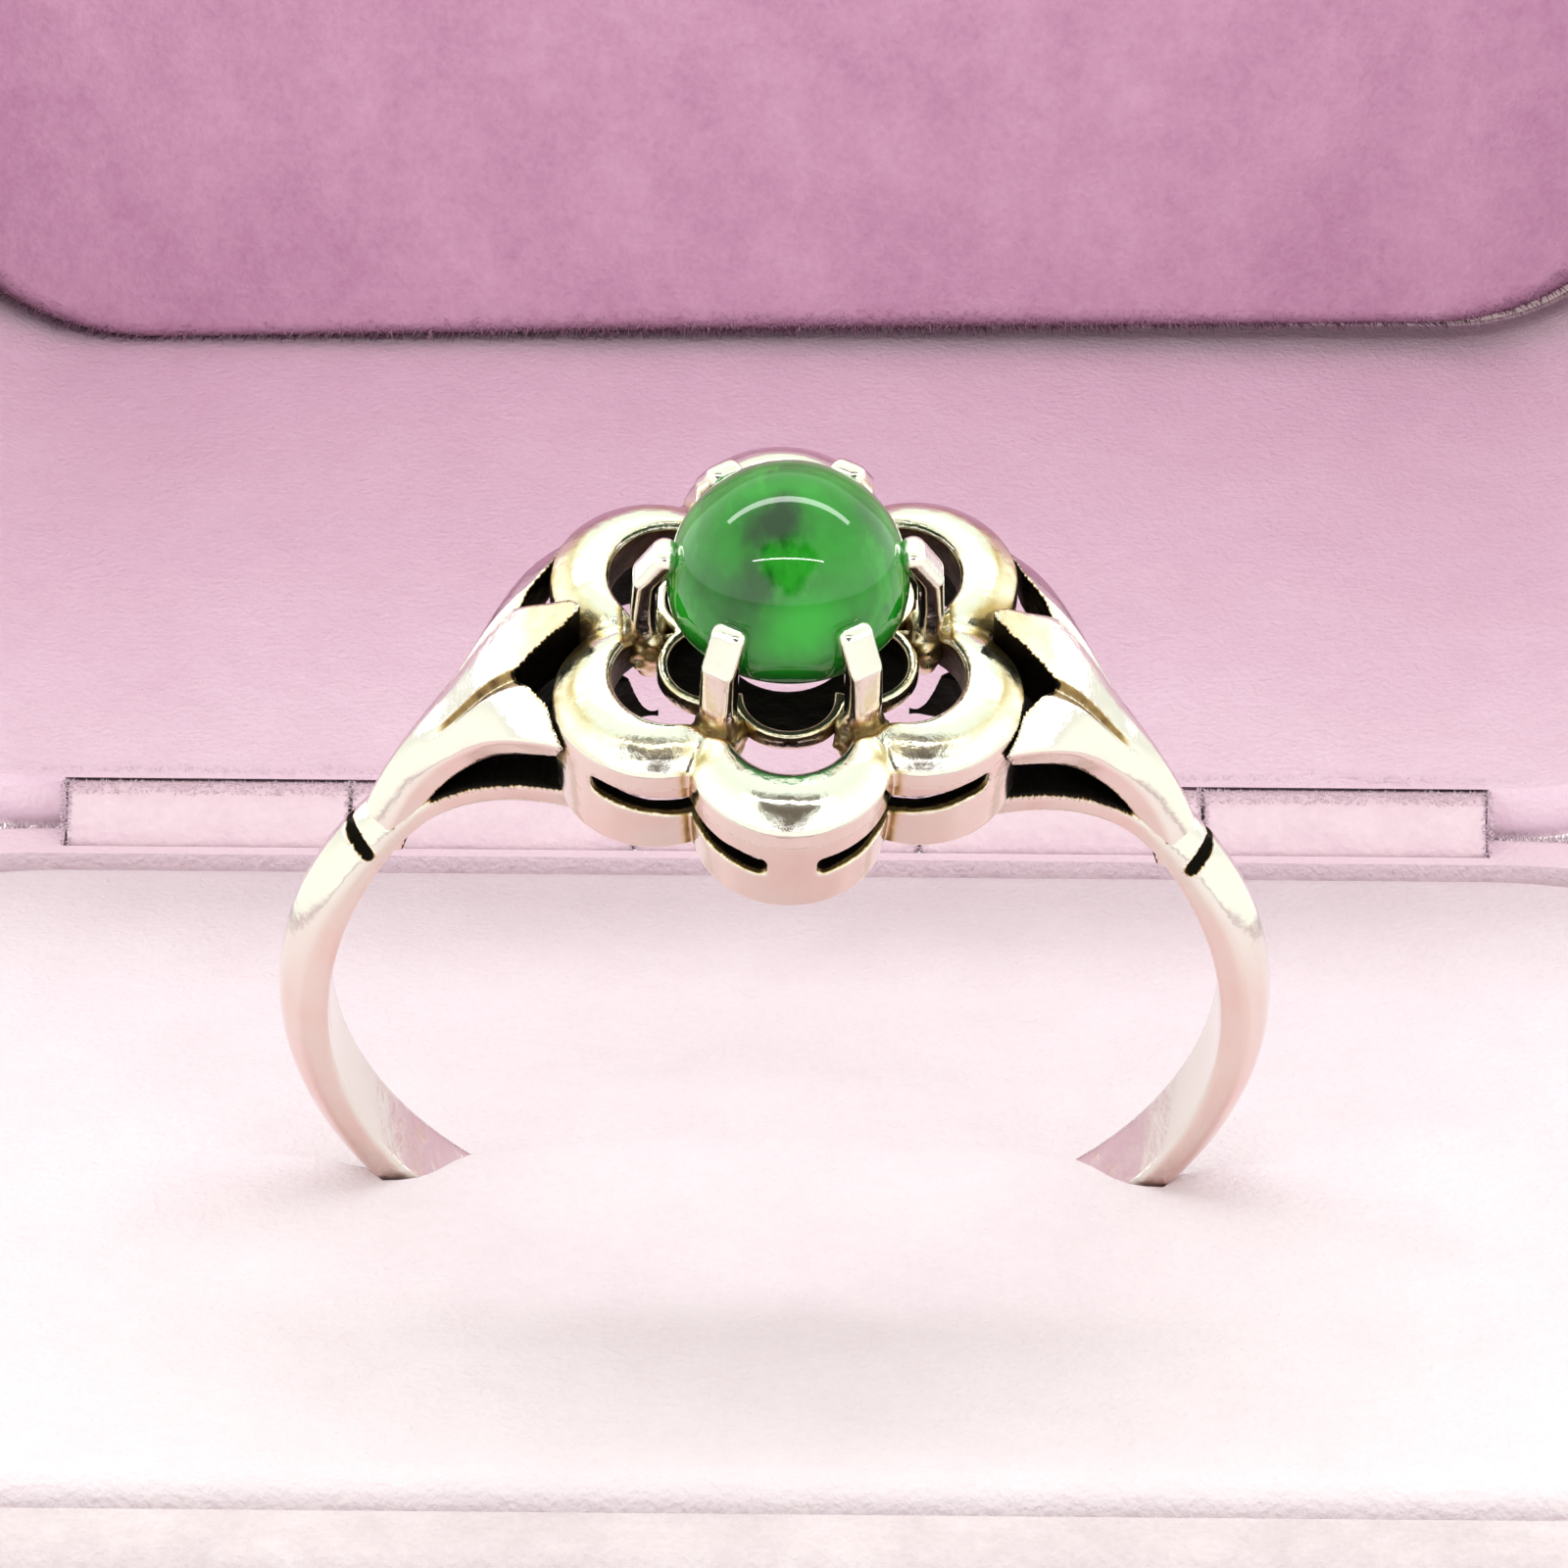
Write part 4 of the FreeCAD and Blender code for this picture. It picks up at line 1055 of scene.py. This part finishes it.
def make_green():
    """A cloudy green stone: a dark patch, lighter veins, a darker foot and a wet gloss."""
    look, tree, shader, place = new_look(
        "stone_green", Roughness=0.05, IOR=1.45, Coat_Weight=0.3, Coat_Roughness=0.015, Coat_IOR=1.6,
    )
    cloud = noise(tree, place, 2.2, 4.0)
    vein = noise(tree, place, 1.1, 5.0, stretch=(1.0, 0.5, 0.45), roughness=0.6)
    body = ramp(tree, cloud, [
        (0.30, (0.003, 0.09, 0.005)),
        (0.45, (0.006, 0.18, 0.008)),
        (0.58, (0.009, 0.24, 0.010)),
        (0.75, (0.020, 0.31, 0.018)),
    ])
    streak = ramp(tree, vein, [(0.52, (0, 0, 0)), (0.60, (1, 1, 1)), (0.68, (0, 0, 0))])
    body = mix(tree, maths(tree, "MULTIPLY", streak, 0.35), body, (0.04, 0.45, 0.035))

    def spot(x, y, z, radius, softness):
        """1 near a point given in the ring's frame, falling to 0 at radius."""
        centre = RING_FRAME @ (Vector((x, y, z)) * MM)
        gap = add(tree, "ShaderNodeVectorMath", {"operation": "DISTANCE"}, _0=place, _1=tuple(centre))
        wobble = maths(tree, "MULTIPLY", maths(tree, "SUBTRACT", vein, 0.5), 1.4 * MM)
        reach = maths(tree, "ADD", gap.outputs["Value"], wobble)
        return falloff(tree, reach, radius * MM, (radius - softness) * MM)

    for x, y, z, radius, strength in DARK_SPOTS:
        dark = maths(tree, "MULTIPLY", spot(x, y, z, radius, radius * 0.8), strength)
        body = mix(tree, dark, body, (0.002, 0.035, 0.004))
    bright = maths(tree, "MULTIPLY", spot(*BRIGHT_SPOT), 0.75)
    body = mix(tree, bright, body, (0.012, 0.40, 0.015))
    foot_point = RING_FRAME @ (Vector((0, 0, STONE_GIRDLE)) * MM)
    up = (RING_FRAME.to_3x3() @ Vector((0, 0, 1))).normalized()
    height = add(tree, "ShaderNodeVectorMath", {"operation": "DOT_PRODUCT"}, _0=place, _1=tuple(up))
    level = maths(tree, "SUBTRACT", height.outputs["Value"], foot_point.dot(up))
    low = falloff(tree, level, 0.5 * MM, -0.35 * MM)
    body = mix(tree, maths(tree, "MULTIPLY", low, 0.9), body, (0.006, 0.045, 0.008))
    tree.links.new(body, shader.inputs["Base Color"])
    return look


def make_steel():
    look, tree, shader, place = new_look("steel_drawn", Metallic=1.0, Anisotropic=0.4)
    lines = noise(tree, place, 0.05, 2.0, stretch=(0.05, 1.0, 1.0))
    tree.links.new(ramp(tree, lines, [(0.3, (0.42, 0.42, 0.43)), (0.7, (0.62, 0.62, 0.63))]),
                   shader.inputs["Base Color"])
    tree.links.new(maths(tree, "ADD", maths(tree, "MULTIPLY", lines, 0.2), 0.22), shader.inputs["Roughness"])
    tree.links.new(bump(tree, lines, 0.2, 0.02), shader.inputs["Normal"])
    return look


def make_paper(name, deep, light, fibre_mm):
    look, tree, shader, place = new_look(name, Roughness=0.9)
    fibre = noise(tree, place, fibre_mm, 4.0, stretch=(0.3, 1.0, 1.0))
    speck = noise(tree, place, fibre_mm * 5, 2.0)
    mixed = maths(tree, "ADD", maths(tree, "MULTIPLY", fibre, 0.6), maths(tree, "MULTIPLY", speck, 0.4))
    tree.links.new(ramp(tree, mixed, [(0.3, deep), (0.7, light)]), shader.inputs["Base Color"])
    tree.links.new(bump(tree, fibre, 0.4, 0.08), shader.inputs["Normal"])
    return look


PAD_VELVET = velvet("velvet_cushion", (0.74, 0.655, 0.71), (0.81, 0.735, 0.785), contrast=0.7)
LINING_VELVET = velvet("velvet_lining", (0.91, 0.71, 0.83), (0.99, 0.82, 0.93), contrast=0.8)
COVER_VELVET = velvet("velvet_cover", (0.59, 0.50, 0.54), (0.72, 0.645, 0.68), hinge_tint=True)
# the panel's velvet is darker and more mauve than the lining's: partly its own cloth, partly painted shade
# for its upright face deep in the lid
PANEL_VELVET = velvet("velvet_panel", (0.57, 0.32, 0.47), (0.74, 0.48, 0.64), contrast=0.9, painted_edge_shade=True)
PLASTIC = velvet("shell_flocked", (0.84, 0.66, 0.75), (0.94, 0.78, 0.85), pile_mm=0.22)
STEEL = make_steel()
SILVER = make_silver()
GREEN = make_green()
FELT = make_paper("felt_pressed", (0.30, 0.12, 0.18), (0.45, 0.20, 0.28), 0.12)
CARD = make_paper("card_grey", (0.42, 0.39, 0.35), (0.60, 0.57, 0.52), 0.15)
FOAM = make_paper("foam_white", (0.72, 0.70, 0.62), (0.86, 0.84, 0.78), 0.35)

NODE_LOOKS = {
    "base_cover": COVER_VELVET,
    "base_shell": PLASTIC,
    "base_felt": FELT,
    "pad_card": CARD,
    "pad_riser": CARD,
    "hinge_pin": STEEL,
    "lid_shell": PLASTIC,
    "lid_cover": COVER_VELVET,
    "lid_lining": LINING_VELVET,
    "lid_foam": FOAM,
    "lid_card": CARD,
}
for node_name, look in NODE_LOOKS.items():
    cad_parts[node_name].data.materials.clear()
    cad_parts[node_name].data.materials.append(look)

for part_name in RING_PARTS:
    make_ring_part(part_name, SILVER)
make_stone(GREEN)
make_cushion(PAD_VELVET)
make_panel(PANEL_VELVET)
make_nap("base_nap", "base", COVER_VELVET,
         [(4000, on_crest, 0.1), (1400, on_gap, 0.16), (1500, on_back_rim, 0.2),
          (4000, on_front_wall, 0.2)])
make_nap("lid_nap", "lid", LINING_VELVET, [(2500, on_lining_edge, 0.2)])

# --- studio ---

def add_floor():
    """A pale floor that the box stands on."""
    half = 1.5
    data = bpy.data.meshes.new("floor")
    corners = [(-half, -half, 0), (half, -half, 0), (half, half, 0), (-half, half, 0)]
    data.from_pydata(corners, [], [(0, 1, 2, 3)])
    floor = bpy.data.objects.new("floor", data)
    bpy.context.collection.objects.link(floor)
    look, tree, shader, place = new_look("floor_paper", Roughness=0.9)
    grain = noise(tree, place, 2.0, 3.0)
    tree.links.new(ramp(tree, grain, [(0.3, (0.80, 0.77, 0.78)), (0.7, (0.84, 0.81, 0.82))]),
                   shader.inputs["Base Color"])
    data.materials.append(look)


def add_panel_light(name, elevation, distance, width, depth, radiance):
    """A rectangular lamp aimed at the ring. Elevation 0 is in front, 90 overhead, over 90 behind."""
    data = bpy.data.lights.new(name, "AREA")
    data.shape = "RECTANGLE"
    data.size = width
    data.size_y = depth
    data.energy = radiance * math.pi * width * depth
    lamp = bpy.data.objects.new(name, data)
    bpy.context.collection.objects.link(lamp)
    e = math.radians(elevation)
    way = Vector((0, -math.cos(e), math.sin(e)))
    lamp.location = RING_CENTRE + way * distance
    lamp.rotation_euler = (-way).to_track_quat("-Z", "Y").to_euler()


WORLD_STRENGTH = 1.68
DIM_UP = math.radians(38)


def add_world():
    """A pale room: white above, a dim patch in front, pinkish near the table."""
    world = bpy.data.worlds.new("studio")
    bpy.context.scene.world = world
    world.use_nodes = True
    tree = world.node_tree
    background = tree.nodes["Background"]
    place = add(tree, "ShaderNodeTexCoord").outputs["Generated"]
    parts = add(tree, "ShaderNodeSeparateXYZ", Vector=place)
    sky = ramp(tree, maths(tree, "ADD", maths(tree, "MULTIPLY", parts.outputs["Z"], 0.5), 0.5), [
        (0.40, (0.80, 0.68, 0.75)),
        (0.54, (1.0, 0.92, 0.98)),
        (0.66, (0.92, 0.91, 0.86)),
        (0.84, (0.66, 0.70, 0.60)),
        (1.0, (0.70, 0.73, 0.66)),
    ])
    front = add(tree, "ShaderNodeVectorMath", {"operation": "DOT_PRODUCT"}, _0=place,
                _1=(0, -math.cos(DIM_UP), math.sin(DIM_UP))).outputs["Value"]
    shape = add(tree, "ShaderNodeTexNoise", Vector=place, Scale=3.5, Detail=2.0).outputs["Fac"]
    front = maths(tree, "ADD", front, maths(tree, "MULTIPLY", maths(tree, "SUBTRACT", shape, 0.5), 0.22))
    dim = falloff(tree, front, 0.86, 0.95)
    mixed = mix(tree, dim, sky, (0.10, 0.08, 0.06))
    tree.links.new(mixed, background.inputs["Color"])
    background.inputs["Strength"].default_value = WORLD_STRENGTH


add_floor()
add_world()
add_panel_light("overhead", 104, 0.30, 0.60, 0.036, 7.0)
add_panel_light("strip", 43.5, 0.32, 0.40, 0.0045, 36.0)
bpy.context.scene.view_settings.view_transform = "Standard"
